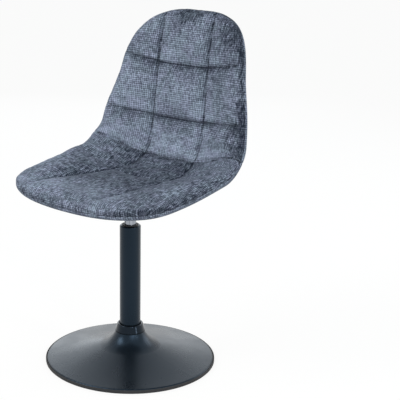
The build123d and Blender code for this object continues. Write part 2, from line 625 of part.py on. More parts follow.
def lever_grip():
    """Plastic handle pushed over the lever's outer end, closed and rounded at its tip."""
    bore, tip = LEVER_R + PRESS_GAP, LEVER_OUTER_X - GRIP_END_T
    inner, end = LEVER_OUTER_X + GRIP_L, LEVER_OUTER_X - PRESS_GAP
    waist, fullest = (inner, GRIP_R - GRIP_WAIST), (tip + GRIP_R / 2, GRIP_R)
    middle = ((inner + tip) / 2, GRIP_R - GRIP_WAIST / 2)
    corner = (tip + GRIP_R * GRIP_TIP_SHARE, GRIP_R * GRIP_TIP_R_SHARE)
    stretches = [
        ((inner, bore), waist), (waist, middle, fullest), (fullest, corner, (tip, GRIP_R / 2)),
        ((tip, GRIP_R / 2), (tip, 0)), ((tip, 0), (end, 0)), ((end, 0), (end, bore)),
        ((end, bore), (inner, bore))]
    edges = []
    for stretch in stretches:
        points = [(x, 0, OUTER_LEVER_Z + radius) for x, radius in stretch]
        edges.append(Line(*points) if len(points) == 2 else ThreePointArc(*points))
    return revolve(make_face(edges), Axis((0, 0, OUTER_LEVER_Z), (1, 0, 0)))


def seat_bolts():
    """Bolts that hold the seat plate to the shell: domed heads under the plate."""
    head_top = PLATE_UNDER_Z - WASHER_T
    head = bar(BOLT_HEAD_R, (0, 0, head_top - BOLT_HEAD_H), (0, 0, head_top))
    head = fillet(head.edges().filter_by(GeomType.CIRCLE).group_by(Axis.Z)[0], BOLT_HEAD_H / 2)
    key = extrude(Pos(0, 0, head_top - BOLT_HEAD_H) * RegularPolygon(BOLT_R / 2, 6), BOLT_HEAD_H / 2)
    shank = bar(BOLT_R, (0, 0, head_top - PRESS_GAP), (0, 0, TEE_SEAT_Z + TEE_FLANGE_T / 2))
    return at_bolts(head + shank - key)


def bolt_washers():
    """Flat washers under the bolt heads."""
    return at_bolts(ring(WASHER_R, BOLT_HOLE_R, PLATE_UNDER_Z - WASHER_T, PLATE_UNDER_Z))


def tee_nuts():
    """Nuts let into the shell's upper face: a flange and a barrel."""
    bore, top = BOLT_R + PRESS_GAP, TEE_SEAT_Z + TEE_FLANGE_T
    foot = TEE_SEAT_Z - TEE_BARREL_L
    return at_bolts(turned_lines(
        (bore, foot), (TEE_BARREL_R, foot), (TEE_BARREL_R, TEE_SEAT_Z), (TEE_FLANGE_R, TEE_SEAT_Z),
        (TEE_FLANGE_R, top), (bore, top)))


# ---------------------------------------------------------------- the shell's line and sections
def smooth(table, at):
    """Value at a position, on a smooth curve through the (position, value) pairs of a table."""
    last = len(table) - 1

    def slope(index):
        before, after = table[max(index - 1, 0)], table[min(index + 1, last)]
        return (after[1] - before[1]) / (after[0] - before[0])

    start = 0
    while start < last - 1 and at > table[start + 1][0]:
        start += 1
    (low, low_value), (high, high_value) = table[start], table[start + 1]
    span = high - low
    part = (at - low) / span
    rise = part * part * (3 - 2 * part)
    lead = part * (1 - part) ** 2 * span * slope(start)
    trail = part * part * (1 - part) * span * slope(start + 1)
    return low_value + rise * (high_value - low_value) + lead - trail


def line_at(along):
    """Point (y, z) of the shell's line and its direction, at a distance from the front."""
    bend = math.radians(BEND_ANGLE)
    y, z = FRONT_Y + min(along, SEAT_RUN), SHELL_Z
    left = along - SEAT_RUN
    if left <= 0:
        return y, z, 0.0
    turned_by = min(left / BEND_R, bend)
    y += BEND_R * math.sin(turned_by)
    z += BEND_R * (1 - math.cos(turned_by))
    left -= BEND_R * bend
    if left <= 0:
        return y, z, turned_by
    straight = min(left, BACK_RUN)
    y += straight * math.cos(bend)
    z += straight * math.sin(bend)
    left -= BACK_RUN
    if left <= 0:
        return y, z, bend
    lean = bend - left / CROWN_R
    y += CROWN_R * (math.sin(bend) - math.sin(lean))
    z += CROWN_R * (math.cos(lean) - math.cos(bend))
    return y, z, lean


def corner_share(distance, length, power):
    """Share of the full width left where the corners close, at a distance from the end."""
    gone = max(0.0, 1 - distance / length)
    return (1 - gone ** power) ** (1 / power)


def dish_radius(along):
    """Radius of the cross-section's arc, from the half width and the rise of the sides."""
    half, rise = smooth(HALF_WIDTH, along), smooth(SIDE_RISE, along)
    return (half * half + rise * rise) / (2 * rise)


def rim_at(along):
    """Distance from the middle to the rim, along the cross-section's arc."""
    half = smooth(HALF_WIDTH, along)
    half *= corner_share(along, FRONT_ROUND, FRONT_POWER)
    half *= corner_share(LINE_LENGTH - along, TOP_ROUND, TOP_POWER)
    radius = dish_radius(along)
    return radius * math.asin(half / radius)


def edge_share(along):
    """Share of the padding's thickness at a distance along the line: it thins at both ends."""
    gone = max(0.0, 1 - min(along, LINE_LENGTH - along) / EDGE_ROUND)
    return math.sqrt(1 - gone * gone)


def panel_share(along):
    """How full a panel is: nothing on a cross seam, all of it a puff's length away."""
    nearest = min(abs(along - seam) for seam in SEAMS)
    gone = max(0.0, 1 - nearest / PUFF_LENGTH)
    return math.sqrt(1 - gone * gone)


def place(along, across, above):
    """Point at a distance along the line, across the section's arc and above the shell's middle."""
    y, z, lean = line_at(along)
    radius = dish_radius(along)
    angle = across / radius
    lift = radius - (radius - above) * math.cos(angle)
    sideways = (radius - above) * math.sin(angle)
    return Vector(sideways, y - lift * math.sin(lean), z + lift * math.cos(lean))


def section(along, under, side, over):
    """Closed section in the plane across the line.

    An arc runs underneath through (0, under), the side's stretches climb the right rim, an arc
    runs over the top through (0, over), and the side's stretches come down again on the left.
    """
    def edge(*points):
        spots = [place(along, across, above) for across, above in points]
        return Edge.make_line(*spots) if len(spots) == 2 else Edge.make_three_point_arc(*spots)

    def mirrored(point):
        return -point[0], point[1]

    first, last = side[0][0], side[-1][-1]
    edges = [edge(mirrored(first), (0, under), first)]
    edges += [edge(*stretch) for stretch in side]
    edges.append(edge(last, (0, over), mirrored(last)))
    edges += [edge(*[mirrored(point) for point in reversed(stretch)]) for stretch in reversed(side)]
    return Wire(edges)


def stations(start, end):
    """Places of the sections between two distances: close at seams and ends, wide elsewhere."""
    places = {start, end}
    for seam in SEAMS:
        places |= {seam + step * side for step in CHANNEL_STEPS for side in (-1, 1)}
    for step in END_STEPS:
        places |= {step, LINE_LENGTH - step}
    marks = sorted(place for place in places if start <= place <= end)
    filled = []
    for low, high in zip(marks, marks[1:]):
        count = math.ceil((high - low) / STATION_STEP)
        filled += [low + (high - low) * part / count for part in range(count)]
    return filled + [end]


def lofted(make_section, start, end):
    """A form lofted through its sections, in one run from each cross seam to the next."""
    breaks = [start, *[seam for seam in SEAMS if start < seam < end], end]
    runs = [Solid.make_loft([make_section(along) for along in stations(low, high)])
            for low, high in zip(breaks, breaks[1:])]
    return runs[0].fuse(*runs[1:]) if len(runs) > 1 else runs[0]


def shell_blank(grow=0.0, low=-SHELL_T / 2, high=SHELL_T / 2):
    """The moulded shell's form, grown at its edges by a clearance."""
    start, inset = RIM_COVER - grow, RIM_COVER - grow

    def band(along):
        edge = rim_at(along) - inset
        return section(along, low, [((edge, low), (edge, high))], high)

    return lofted(band, start, LINE_LENGTH - start)


def cushion_section(along):
    """Section of the quilted padding, from the middle of the shell's edge upwards."""
    rim, share = rim_at(along), edge_share(along)
    puff, fade = panel_share(along), min(1.0, along / SEAM_FADE)

    def height(padding):
        return (padding + SHELL_T / 2) * share

    seam = min(smooth(LONG_SEAMS, along), rim * SEAM_RIM_SHARE)
    crown = PAD_SEAM + (PAD_CROWN - PAD_SEAM) * puff
    side_crown = (PAD_SEAM + PAD_SHOULDER) / 2 + (PAD_CROWN - PAD_SEAM) * puff * SIDE_CROWN
    seam_height = crown - (crown - PAD_SEAM + SEAM_BITE) * fade
    roll = RIM_ROLL * share
    foot, widest = (rim - roll * RIM_FOOT_SHARE, 0), (rim, height(PAD_SHOULDER * RIM_WIDEST_SHARE))
    shoulder = (rim - roll, height(PAD_SHOULDER))
    middle = ((shoulder[0] + seam) / 2, height(side_crown))
    side = [(foot, widest, shoulder), (shoulder, middle, (seam, height(seam_height)))]
    return section(along, 0, side, height(crown))


def seat_cushion():
    """Quilted padding of the seat, from the front edge to the fold, hollowed over the shell."""
    padding = lofted(cushion_section, END_LIP, FOLD_SEAM - SEAT_GAP / 2)
    return padding - shell_blank(SEAT_GAP, -SHELL_T, SHELL_T / 2 + SEAT_GAP)


def back_cushion():
    """Quilted padding of the back, from the fold to the top edge, hollowed over the shell."""
    padding = lofted(cushion_section, FOLD_SEAM + SEAT_GAP / 2, LINE_LENGTH - END_LIP)
    return padding - shell_blank(SEAT_GAP, -SHELL_T, SHELL_T / 2 + SEAT_GAP)


def cover_section(along):
    """Section of the thin padding behind the shell, rolled up to the rim of the cushions."""
    rim, share = rim_at(along), edge_share(along)
    top = -SEAT_GAP
    bottom = top - (SHELL_T / 2 + REAR_PAD) * share
    roll = RIM_ROLL * share
    edge = (rim - roll * RIM_FOOT_SHARE, top)
    under = (rim - roll - roll * RIM_FOOT_SHARE, bottom)
    middle = (rim - roll * COVER_ROLL_SHARE, top + (bottom - top) * COVER_BULGE)
    return section(along, bottom, [(under, middle, edge)], top)


def seat_under_cover():
    """Covering under the seat, hollowed for the shell, with holes for the spacers."""
    piece = lofted(cover_section, END_LIP, FOLD_SEAM - SEAT_GAP / 2)
    piece -= shell_blank(SEAT_GAP, -SHELL_T / 2 - SEAT_GAP, SHELL_T)
    for hole in at_bolts(bar(SPACER_R + SEAT_GAP, (0, 0, PLATE_UNDER_Z), (0, 0, SHELL_Z + 2 * SHELL_T))):
        piece -= hole
    return piece


def rear_cover():
    """Covering behind the back, hollowed for the shell."""
    piece = lofted(cover_section, FOLD_SEAM + SEAT_GAP / 2, LINE_LENGTH - END_LIP)
    return piece - shell_blank(SEAT_GAP, -SHELL_T / 2 - SEAT_GAP, SHELL_T)


def inner_shell():
    """Moulded shell of seat and back in one, bored and sunk for the nuts."""
    shell = shell_blank()
    barrel = bar(TEE_BARREL_R + PRESS_GAP, (0, 0, SHELL_Z - 2 * SHELL_T), (0, 0, TEE_SEAT_Z + SHELL_T))
    sink = bar(TEE_FLANGE_R + SEAT_GAP, (0, 0, TEE_SEAT_Z), (0, 0, TEE_SEAT_Z + 2 * SHELL_T))
    for hole in at_bolts(barrel + sink):
        shell -= hole
    return shell


def seat_spacers():
    """Rubber spacers between the seat plate and the curved underside of the shell."""
    spacer = ring(SPACER_R, TEE_BARREL_R + SEAT_GAP, PLATE_TOP_Z, SHELL_Z + SHELL_T)
    filled = shell_blank(0.0, -SHELL_T / 2 - PRESS_GAP, 2 * SHELL_T)
    return [piece - filled for piece in at_bolts(spacer)]


# ---------------------------------------------------------------- write every piece
MAKERS = (
    base_dish, floor_ring, bottom_plate, ballast_ring, hub_socket, hub_gussets, base_collar,
    column_tube, guide_bush, lower_race, bearing_balls, bearing_cage, upper_race, piston_rod,
    foot_washer, retaining_clip, bump_stop, piston, piston_ring, gas_cylinder, rod_gland,
    inner_tube, valve_body, valve_button, seat_plate, taper_socket, lever_bracket, pivot_pin,
    height_lever, lever_grip, seat_bolts, bolt_washers, tee_nuts, seat_spacers, inner_shell,
    seat_cushion, back_cushion, seat_under_cover, rear_cover,
)

os.makedirs("parts", exist_ok=True)
for maker in MAKERS:
    save(maker(), maker.__name__)
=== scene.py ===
# %% [markdown]
# # A quilted swivel dining chair
# The packed CAD model is the fixed frame: origin on the floor at the column's axis, +Z up, the
# chair faces -Y, lengths in metres. The hard pieces keep their CAD shapes and get materials. The
# soft pieces are made here, on the line and sections that the shell follows, because stuffed cloth
# has folds and swellings that a solid model can't draw well.

# %% The frame and the tools
import bmesh
import bpy
import json
import math
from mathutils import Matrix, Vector, noise
from mathutils.bvhtree import BVHTree


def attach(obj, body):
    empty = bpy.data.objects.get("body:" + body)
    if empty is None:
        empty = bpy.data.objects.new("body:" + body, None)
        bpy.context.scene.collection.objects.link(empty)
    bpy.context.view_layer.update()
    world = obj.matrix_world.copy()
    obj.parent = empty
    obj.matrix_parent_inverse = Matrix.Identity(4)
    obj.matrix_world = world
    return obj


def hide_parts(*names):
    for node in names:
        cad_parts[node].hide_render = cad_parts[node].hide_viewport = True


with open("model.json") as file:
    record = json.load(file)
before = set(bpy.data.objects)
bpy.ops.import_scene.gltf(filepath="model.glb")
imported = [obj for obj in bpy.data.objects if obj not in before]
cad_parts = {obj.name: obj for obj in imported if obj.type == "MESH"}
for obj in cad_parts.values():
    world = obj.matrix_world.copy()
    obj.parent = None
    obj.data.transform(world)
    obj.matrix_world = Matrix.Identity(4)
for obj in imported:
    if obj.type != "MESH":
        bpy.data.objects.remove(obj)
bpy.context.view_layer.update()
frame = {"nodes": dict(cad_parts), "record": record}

NODES = frame["nodes"]

# %% [markdown]
# ## Camera
# A picture of furniture is usually taken from a few metres away with a long lens, so that the legs
# and the seat aren't stretched. The camera here was fitted to the outline and the seams in the
# photograph. It could simply be aimed at the chair, but that would turn its perspective. It looks
# past the chair instead, and the picture is shifted sideways, as a photographer crops one.

# %% Camera
AZIMUTH, ELEVATION = math.radians(42.4), math.radians(15.5)
CAMERA_DISTANCE = 2.565
SENSOR_WIDTH = 36.0                              # millimetres
CAMERA_SIDE, CAMERA_HEIGHT = -0.0158, 0.4033     # where its axis passes the column's axis
FOCAL_SHARE = 1093.0 / 400.0                     # focal length as a share of the picture's width
AXIS_SHARE = (123.6 / 400.0, 198.4 / 400.0)      # where the camera's axis meets the picture

toward_camera = Vector((math.sin(AZIMUTH) * math.cos(ELEVATION),
                        -math.cos(AZIMUTH) * math.cos(ELEVATION), math.sin(ELEVATION)))
rightward = Vector((math.cos(AZIMUTH), math.sin(AZIMUTH), 0.0))
camera = bpy.data.objects.new("camera", bpy.data.cameras.new("camera"))
bpy.context.scene.collection.objects.link(camera)
camera.data.sensor_width = SENSOR_WIDTH
camera.data.lens = FOCAL_SHARE * SENSOR_WIDTH
camera.data.shift_x = 0.5 - AXIS_SHARE[0]
camera.data.shift_y = AXIS_SHARE[1] - 0.5
aim = Vector((0, 0, CAMERA_HEIGHT)) + rightward * CAMERA_SIDE
camera.location = aim + toward_camera * CAMERA_DISTANCE
camera.rotation_euler = (-toward_camera).to_track_quat("-Z", "Y").to_euler()
camera.data.clip_start, camera.data.clip_end = 0.05, 60.0
bpy.context.scene.camera = camera
print("camera:", round(camera.data.lens, 1), "mm lens,",
      round(camera.location.length, 3), "m from the chair's foot")

# %% [markdown]
# ## Lamps
# A studio lights a dark chair with large soft boxes: one to the front left that shapes the
# cushions, a weaker one that fills the shadows, and some behind that draw pale bands on the paint.
# Point lamps would be quicker, but they give hard spots. Two narrow lamps at the side give the
# upright glints on the glossy collar, the column and the plated cylinder.

# %% Lamps
SPREAD = math.radians(120)              # a soft box sends little light sideways
COOL, FAINTLY_COOL, WHITE = (0.90, 0.96, 1.0), (0.94, 0.97, 1.0), (1.0, 1.0, 1.0)


def area_light(name, place, target, width, power, tint=WHITE, height=None):
    """A soft light at a place, aimed at a target; square unless it has a height."""
    light = bpy.data.objects.new(name, bpy.data.lights.new(name, "AREA"))
    bpy.context.scene.collection.objects.link(light)
    light.data.shape, light.data.size, light.data.size_y = "RECTANGLE", width, height or width
    light.data.energy, light.data.color, light.data.spread = power, tint, SPREAD
    light.location = place
    light.rotation_euler = (Vector(target) - Vector(place)).to_track_quat("-Z", "Y").to_euler()
    return light


lamps = (
    area_light("key", (-1.5, -2.4, 2.4), (0, 0, 0.45), 1.5, 16.5),
    area_light("fill", (2.6, -1.6, 1.6), (0, 0, 0.45), 1.6, 7.0, FAINTLY_COOL),
    area_light("rear_left", (-3.2, 1.4, 1.3), (0, 0, 0.1), 2.0, 3.4, COOL),
    area_light("rear", (-2.3, 2.6, 1.3), (0, 0, 0.1), 2.0, 5.9, COOL),
    area_light("rear_right", (1.0, 2.8, 1.4), (0, 0, 0.2), 1.8, 7.2, COOL),
    area_light("glint", (2.2, -0.9, 1.0), (0, 0, 0.1), 0.18, 1.7),
    area_light("strip", (2.4, 0.1, 0.8), (0, 0, 0.3), 0.22, 3.6, height=1.5))
print("lamps:", len(lamps), "with", round(sum(lamp.data.energy for lamp in lamps), 1), "W in all")

# %% [markdown]
# ## Backdrop
# Behind a catalogue chair hangs a white paper roll. It could be a real curved sheet, which takes
# room and throws coloured light back. Here the world does it: Light Path tells the rays that show a
# thing, straight or in metal and glass, from the rays that carry its light. The first see white
# paper, and the others a soft bluish sky, so the white backdrop adds no light to the chair.

# %% Backdrop
def seen_rays(tree):
    """1 for rays that show a thing, straight or in metal and glass, 0 for the light it gives."""
    rays, seen = tree.nodes.new("ShaderNodeLightPath").outputs, None
    for label in ("Camera", "Glossy", "Transmission"):
        larger = tree.nodes.new("ShaderNodeMath")
        larger.operation = "MAXIMUM"
        tree.links.new(rays[f"Is {label} Ray"], larger.inputs[0])
        tree.links.new(seen or rays[f"Is {label} Ray"], larger.inputs[1])
        seen = larger.outputs[0]
    return seen


SKY_TINT, SKY_STRENGTH = (0.84, 0.94, 1.0), 0.82
PAPER_TINT, PAPER_STRENGTH = (1.0, 1.0, 1.0), 0.96

world = bpy.data.worlds.new("studio")
bpy.context.scene.world = world
world.use_nodes = True
sky = world.node_tree.nodes["Background"]
paper = world.node_tree.nodes.new("ShaderNodeBackground")
for background, tint, strength in ((sky, SKY_TINT, SKY_STRENGTH),
                                   (paper, PAPER_TINT, PAPER_STRENGTH)):
    background.inputs["Color"].default_value = (*tint, 1.0)
    background.inputs["Strength"].default_value = strength
either = world.node_tree.nodes.new("ShaderNodeMixShader")
for start, end in ((seen_rays(world.node_tree), either.inputs[0]),
                   (sky.outputs[0], either.inputs[1]), (paper.outputs[0], either.inputs[2]),
                   (either.outputs[0], world.node_tree.nodes["World Output"].inputs[0])):
    world.node_tree.links.new(start, end)
bpy.context.scene.view_settings.view_transform = "Standard"
print("backdrop: sky", SKY_STRENGTH, "and paper", PAPER_STRENGTH)

# %% [markdown]
# ## The shell's line
# The chair's seat and back are one bent, dished shell. Seen from the side it is a line: a flat
# seat, a bend, a straight back and a top that rolls back a little. A curve object could draw it,
# but the cushions need a point and a direction at any distance along it, and a few arcs in a
# function give both exactly as the CAD model has them.

# %% The shell's line
SHELL_Z, FRONT_Y = 0.4265, -0.223
SEAT_RUN, BEND_R, BEND_ANGLE = 0.2917, 0.1245, math.radians(81.0)
BACK_RUN, CROWN_R, CROWN_ANGLE = 0.129, 0.640, math.radians(15.0)
LINE_LENGTH = SEAT_RUN + BEND_R * BEND_ANGLE + BACK_RUN + CROWN_R * CROWN_ANGLE


def line_at(along):
    """Point (y, z) of the shell's line and its direction, at a distance from the front."""
    y, z = FRONT_Y + min(along, SEAT_RUN), SHELL_Z
    left = along - SEAT_RUN
    if left <= 0:
        return y, z, 0.0
    turned_by = min(left / BEND_R, BEND_ANGLE)
    y += BEND_R * math.sin(turned_by)
    z += BEND_R * (1 - math.cos(turned_by))
    left -= BEND_R * BEND_ANGLE
    if left <= 0:
        return y, z, turned_by
    straight = min(left, BACK_RUN)
    y += straight * math.cos(BEND_ANGLE)
    z += straight * math.sin(BEND_ANGLE)
    left -= BACK_RUN
    if left <= 0:
        return y, z, BEND_ANGLE
    lean = BEND_ANGLE - left / CROWN_R
    y += CROWN_R * (math.sin(BEND_ANGLE) - math.sin(lean))
    z += CROWN_R * (math.cos(lean) - math.cos(BEND_ANGLE))
    return y, z, lean


print("shell line:", round(LINE_LENGTH, 4), "m long, to", round(line_at(LINE_LENGTH)[1], 4), "m up")

# %% [markdown]
# ## The shell's sections
# Across that line the shell is dished, so that it holds the sitter: each section is an arc, given
# by half its width and by how far its sides rise. A few widths and rises along the line are joined
# by a smooth curve. A point on or over the shell is then three numbers: how far along, how far
# sideways and how far above. Everything soft is placed with them, so it fits the shell by itself.

# %% The shell's sections
# (distance along the line, value there)
HALF_WIDTH = ((0.0, 0.211), (0.060, 0.225), (0.190, 0.239), (0.316, 0.234), (0.414, 0.229),
              (0.511, 0.215), (0.617, 0.187), (0.770, 0.160))
SIDE_RISE = ((0.0, 0.011), (0.113, 0.022), (0.263, 0.046), (0.376, 0.060), (0.466, 0.052),
             (0.602, 0.037), (0.770, 0.028))


def smooth(table, at):
    """Value at a position, on a smooth curve through the (position, value) pairs of a table."""
    last = len(table) - 1

    def slope(index):
        before, after = table[max(index - 1, 0)], table[min(index + 1, last)]
        return (after[1] - before[1]) / (after[0] - before[0])

    start = 0
    while start < last - 1 and at > table[start + 1][0]:
        start += 1
    (low, low_value), (high, high_value) = table[start], table[start + 1]
    span = high - low
    part = (at - low) / span
    rise = part * part * (3 - 2 * part)
    lead = part * (1 - part) ** 2 * span * slope(start)
    trail = part * part * (1 - part) * span * slope(start + 1)
    return low_value + rise * (high_value - low_value) + lead - trail


def place(along, sideways, above):
    """Point at a distance along the line and beside the middle plane, above the shell's middle."""
    y, z, lean = line_at(along)
    half, rise = smooth(HALF_WIDTH, along), smooth(SIDE_RISE, along)
    radius = (half * half + rise * rise) / (2 * rise)
    angle = math.asin(sideways / radius)
    lift = radius - (radius - above) * math.cos(angle)
    return Vector(((radius - above) * math.sin(angle),
                   y - lift * math.sin(lean), z + lift * math.cos(lean)))


print("half width at the widest:", max(half for _, half in HALF_WIDTH), "m; the front's middle:",
      [round(value, 4) for value in place(0.0, 0.0, 0.0)])

# %% [markdown]
# ## Making materials
# Each finish is a Principled surface fed by a few texture nodes. Nodes can be laid by hand in the
# editor, but a lesson is easier to follow, and to run again, as text. This helper makes a node,
# links what is given to it and hands back its output, so that a pattern reads like a sum. Patterns
# lie on object coordinates, which stay put when the chair turns.

# %% A helper for materials
class Shader:
    """A material under construction: a Principled surface and the nodes that feed it."""

    def __init__(self, name, **surface):
        self.material = bpy.data.materials.new(name)
        self.material.use_nodes = True
        self.tree = self.material.node_tree
        self.surface = self.tree.nodes["Principled BSDF"]
        for socket, value in surface.items():
            self.surface.inputs[socket.replace("_", " ")].default_value = value

    def node(self, kind, inputs=(), output=0, **settings):
        """A node with its settings and inputs, by name or number; gives one of its outputs."""
        made = self.tree.nodes.new(kind)
        for setting, value in settings.items():
            setattr(made, setting, value)
        for socket, value in dict(inputs).items():
            if isinstance(value, bpy.types.NodeSocket):
                self.tree.links.new(value, made.inputs[socket])
            else:
                made.inputs[socket].default_value = value
        return made.outputs[output]

    def math(self, operation, first, second=0.0):
        """One sum of two numbers, or of one."""
        return self.node("ShaderNodeMath", {0: first, 1: second}, operation=operation)

    def coordinates(self, scale=(1.0, 1.0, 1.0)):
        """Object coordinates, scaled."""
        where = self.node("ShaderNodeTexCoord", output="Object")
        return self.node("ShaderNodeMapping", {"Vector": where, "Scale": scale})

    def noise(self, scale, detail=2.0, roughness=0.5, vector=None):
        """Noise from 0 to 1, on object coordinates unless others are given."""
        return self.node("ShaderNodeTexNoise", {
            "Vector": vector or self.coordinates(), "Scale": scale,
            "Detail": detail, "Roughness": roughness})

    def ramp(self, value, *stops):
        """A colour ramp through (position, colour) stops."""
        made = self.tree.nodes.new("ShaderNodeValToRGB")
        self.tree.links.new(value, made.inputs[0])
        elements = made.color_ramp.elements
        while len(elements) < len(stops):
            elements.new(0.5)
        for element, (position, colour) in zip(elements, stops):
            element.position, element.color = position, (*colour, 1.0)
        return made.outputs[0]

    def range(self, value, low, high, new_low, new_high):
        """A number carried over from one range to another, and kept inside that."""
        return self.node("ShaderNodeMapRange", {
            "Value": value, "From Min": low, "From Max": high,
            "To Min": new_low, "To Max": new_high})

    def mix(self, share, first, second, blend="MIX"):
        """Two colours mixed or multiplied by a share."""
        inputs = {0: share}
        for number, colour in ((6, first), (7, second)):
            inputs[number] = colour if isinstance(colour, bpy.types.NodeSocket) else (*colour, 1.0)
        return self.node("ShaderNodeMix", inputs, output=2, data_type="RGBA", blend_type=blend)

    def bump(self, height, strength, distance):
        """Fine relief in the shading, from a pattern of heights."""
        bumped = self.node("ShaderNodeBump", {
            "Height": height, "Strength": strength, "Distance": distance}, output="Normal")
        self.feed("Normal", bumped)

    def feed(self, socket, value):
        """Link a pattern to one of the surface's inputs."""
        self.tree.links.new(value, self.surface.inputs[socket])


MATERIALS = {}
print("the helper's tools:", ", ".join(tool for tool in vars(Shader) if not tool.startswith("_")))

# %% [markdown]
# ## Paint, plastic and rubber
# The dish and the column are powder coated: the powder melts to a satin skin with a fine orange
# peel. The collar and the bush are moulded plastic, the ring under the dish is rubber. All of them
# are a dark colour under a clear, more or less smooth surface, so one function makes them. A fine
# noise gives the peel, and a slow one makes the gloss a little uneven, because a perfectly even one
# looks like a drawing. Such black mirrors its surroundings a little blue, which the tint of its
# specular gives.

# %% Paint, plastic and rubber
def painted(name, colour, roughness, grain, depth, wear=0.06, tint=(1.0, 1.0, 1.0)):
    """Powder coat, plastic or rubber: a fine grain of some depth and slightly uneven gloss."""
    shader = Shader(name, Base_Color=(*colour, 1.0), Roughness=roughness,
                    Specular_Tint=(*tint, 1.0))
    peel = shader.noise(grain, 3.0)
    shader.bump(peel, 0.35, depth)
    cloud = shader.noise(14.0, 4.0, 0.6)
    shader.feed("Roughness", shader.range(cloud, 0.3, 0.7, roughness - wear, roughness + wear))
    light = tuple(min(1.0, channel * 1.35 + 0.002) for channel in colour)
    shader.feed("Base Color", shader.mix(cloud, colour, light))
    return shader.material


for name, settings in {
        "satin_black_paint": dict(colour=(0.0035, 0.0056, 0.0080), roughness=0.29, grain=900.0,
                                  depth=0.00003, tint=(0.32, 0.50, 0.72)),
        "black_rubber": dict(colour=(0.014, 0.014, 0.015), roughness=0.75, grain=500.0,
                             depth=0.0001),
        "cast_ballast": dict(colour=(0.06, 0.06, 0.063), roughness=0.8, grain=260.0, depth=0.0006),
        "gloss_black_plastic": dict(colour=(0.003, 0.004, 0.005), roughness=0.13, grain=130.0,
                                    depth=0.00016, wear=0.03, tint=(0.29, 0.41, 0.57)),
        "matte_black_plastic": dict(colour=(0.018, 0.018, 0.019), roughness=0.55, grain=1200.0,
                                    depth=0.00006),
        "moulded_shell": dict(colour=(0.03, 0.03, 0.032), roughness=0.5, grain=700.0,
                              depth=0.00008)}.items():
    MATERIALS[name] = painted(name, **settings)
print("painted and moulded:", ", ".join(MATERIALS))

# %% [markdown]
# ## Metals
# The gas cylinder is chrome plated, the bolts and staples are zinc, and the bearing is bare steel.
# A metal has no colour of its own under its mirror, so what matters is what it mirrors and how
# sharply. Drawn and turned metal has fine streaks, and noise stretched along the piece or round it
# gives them. The cylinder's streaks are long, and some are painted much darker, as a painted
# reflection of the dark column below it.

# %% Metals
def metal(name, colour, roughness, streak=(1.0, 1.0, 60.0), strength=0.15, dim=0.0):
    """Turned or drawn metal: streaky gloss round or along it, some painted dark as reflections."""
    shader = Shader(name, Base_Color=(*colour, 1.0), Metallic=1.0, Roughness=roughness)
    streaks = shader.noise(40.0, 4.0, 0.6, shader.coordinates(streak))
    shader.feed("Roughness", shader.range(streaks, 0.3, 0.7, roughness * 0.7, roughness * 1.4))
    shader.bump(streaks, strength, 0.00006)
    # Painted reflection: dim darkens some streaks, as dark surroundings mirrored in the metal.
    painted_reflection_colour = tuple(channel * (1 - dim) for channel in colour)
    shader.feed("Base Color", shader.mix(shader.range(streaks, 0.4, 0.6, 0.0, 1.0), painted_reflection_colour, colour))
    return shader.material


for name, settings in {
        "zinc_steel": dict(colour=(0.56, 0.56, 0.53), roughness=0.38, streak=(1.0, 1.0, 1.0)),
        "bright_steel": dict(colour=(0.60, 0.60, 0.61), roughness=0.16),
        "alloy": dict(colour=(0.72, 0.72, 0.73), roughness=0.30),
        # The chrome's dim paints dark reflections of the column into some streaks.
        "chrome": dict(colour=(0.41, 0.44, 0.49), roughness=0.09, streak=(4.0, 4.0, 0.03),
                       strength=0.10, dim=0.80)}.items():
    MATERIALS[name] = metal(name, **settings)
print("with metals:", len(MATERIALS), "materials")

# %% [markdown]
# ## Chenille: the loops
# Chenille is woven from yarn that carries a short, soft pile, so its face is a grid of knobs with
# dark gaps. Real loops would take millions of faces. A pattern of shader nodes on the weave's own
# UV map, which is laid out in metres on the unrolled cloth, costs nothing and follows every fold.
# The map is first pushed about a little, so that the rows waver as soft cloth does.

# %% Chenille loops
WAVER = 0.9                             # how far the rows stray, as a share of their pitch
COLUMN_SHARE = 0.96                     # a column's pitch as a share of a row's
LOOP_REACH = 1.1                        # how nearly a loop fills its place in the grid


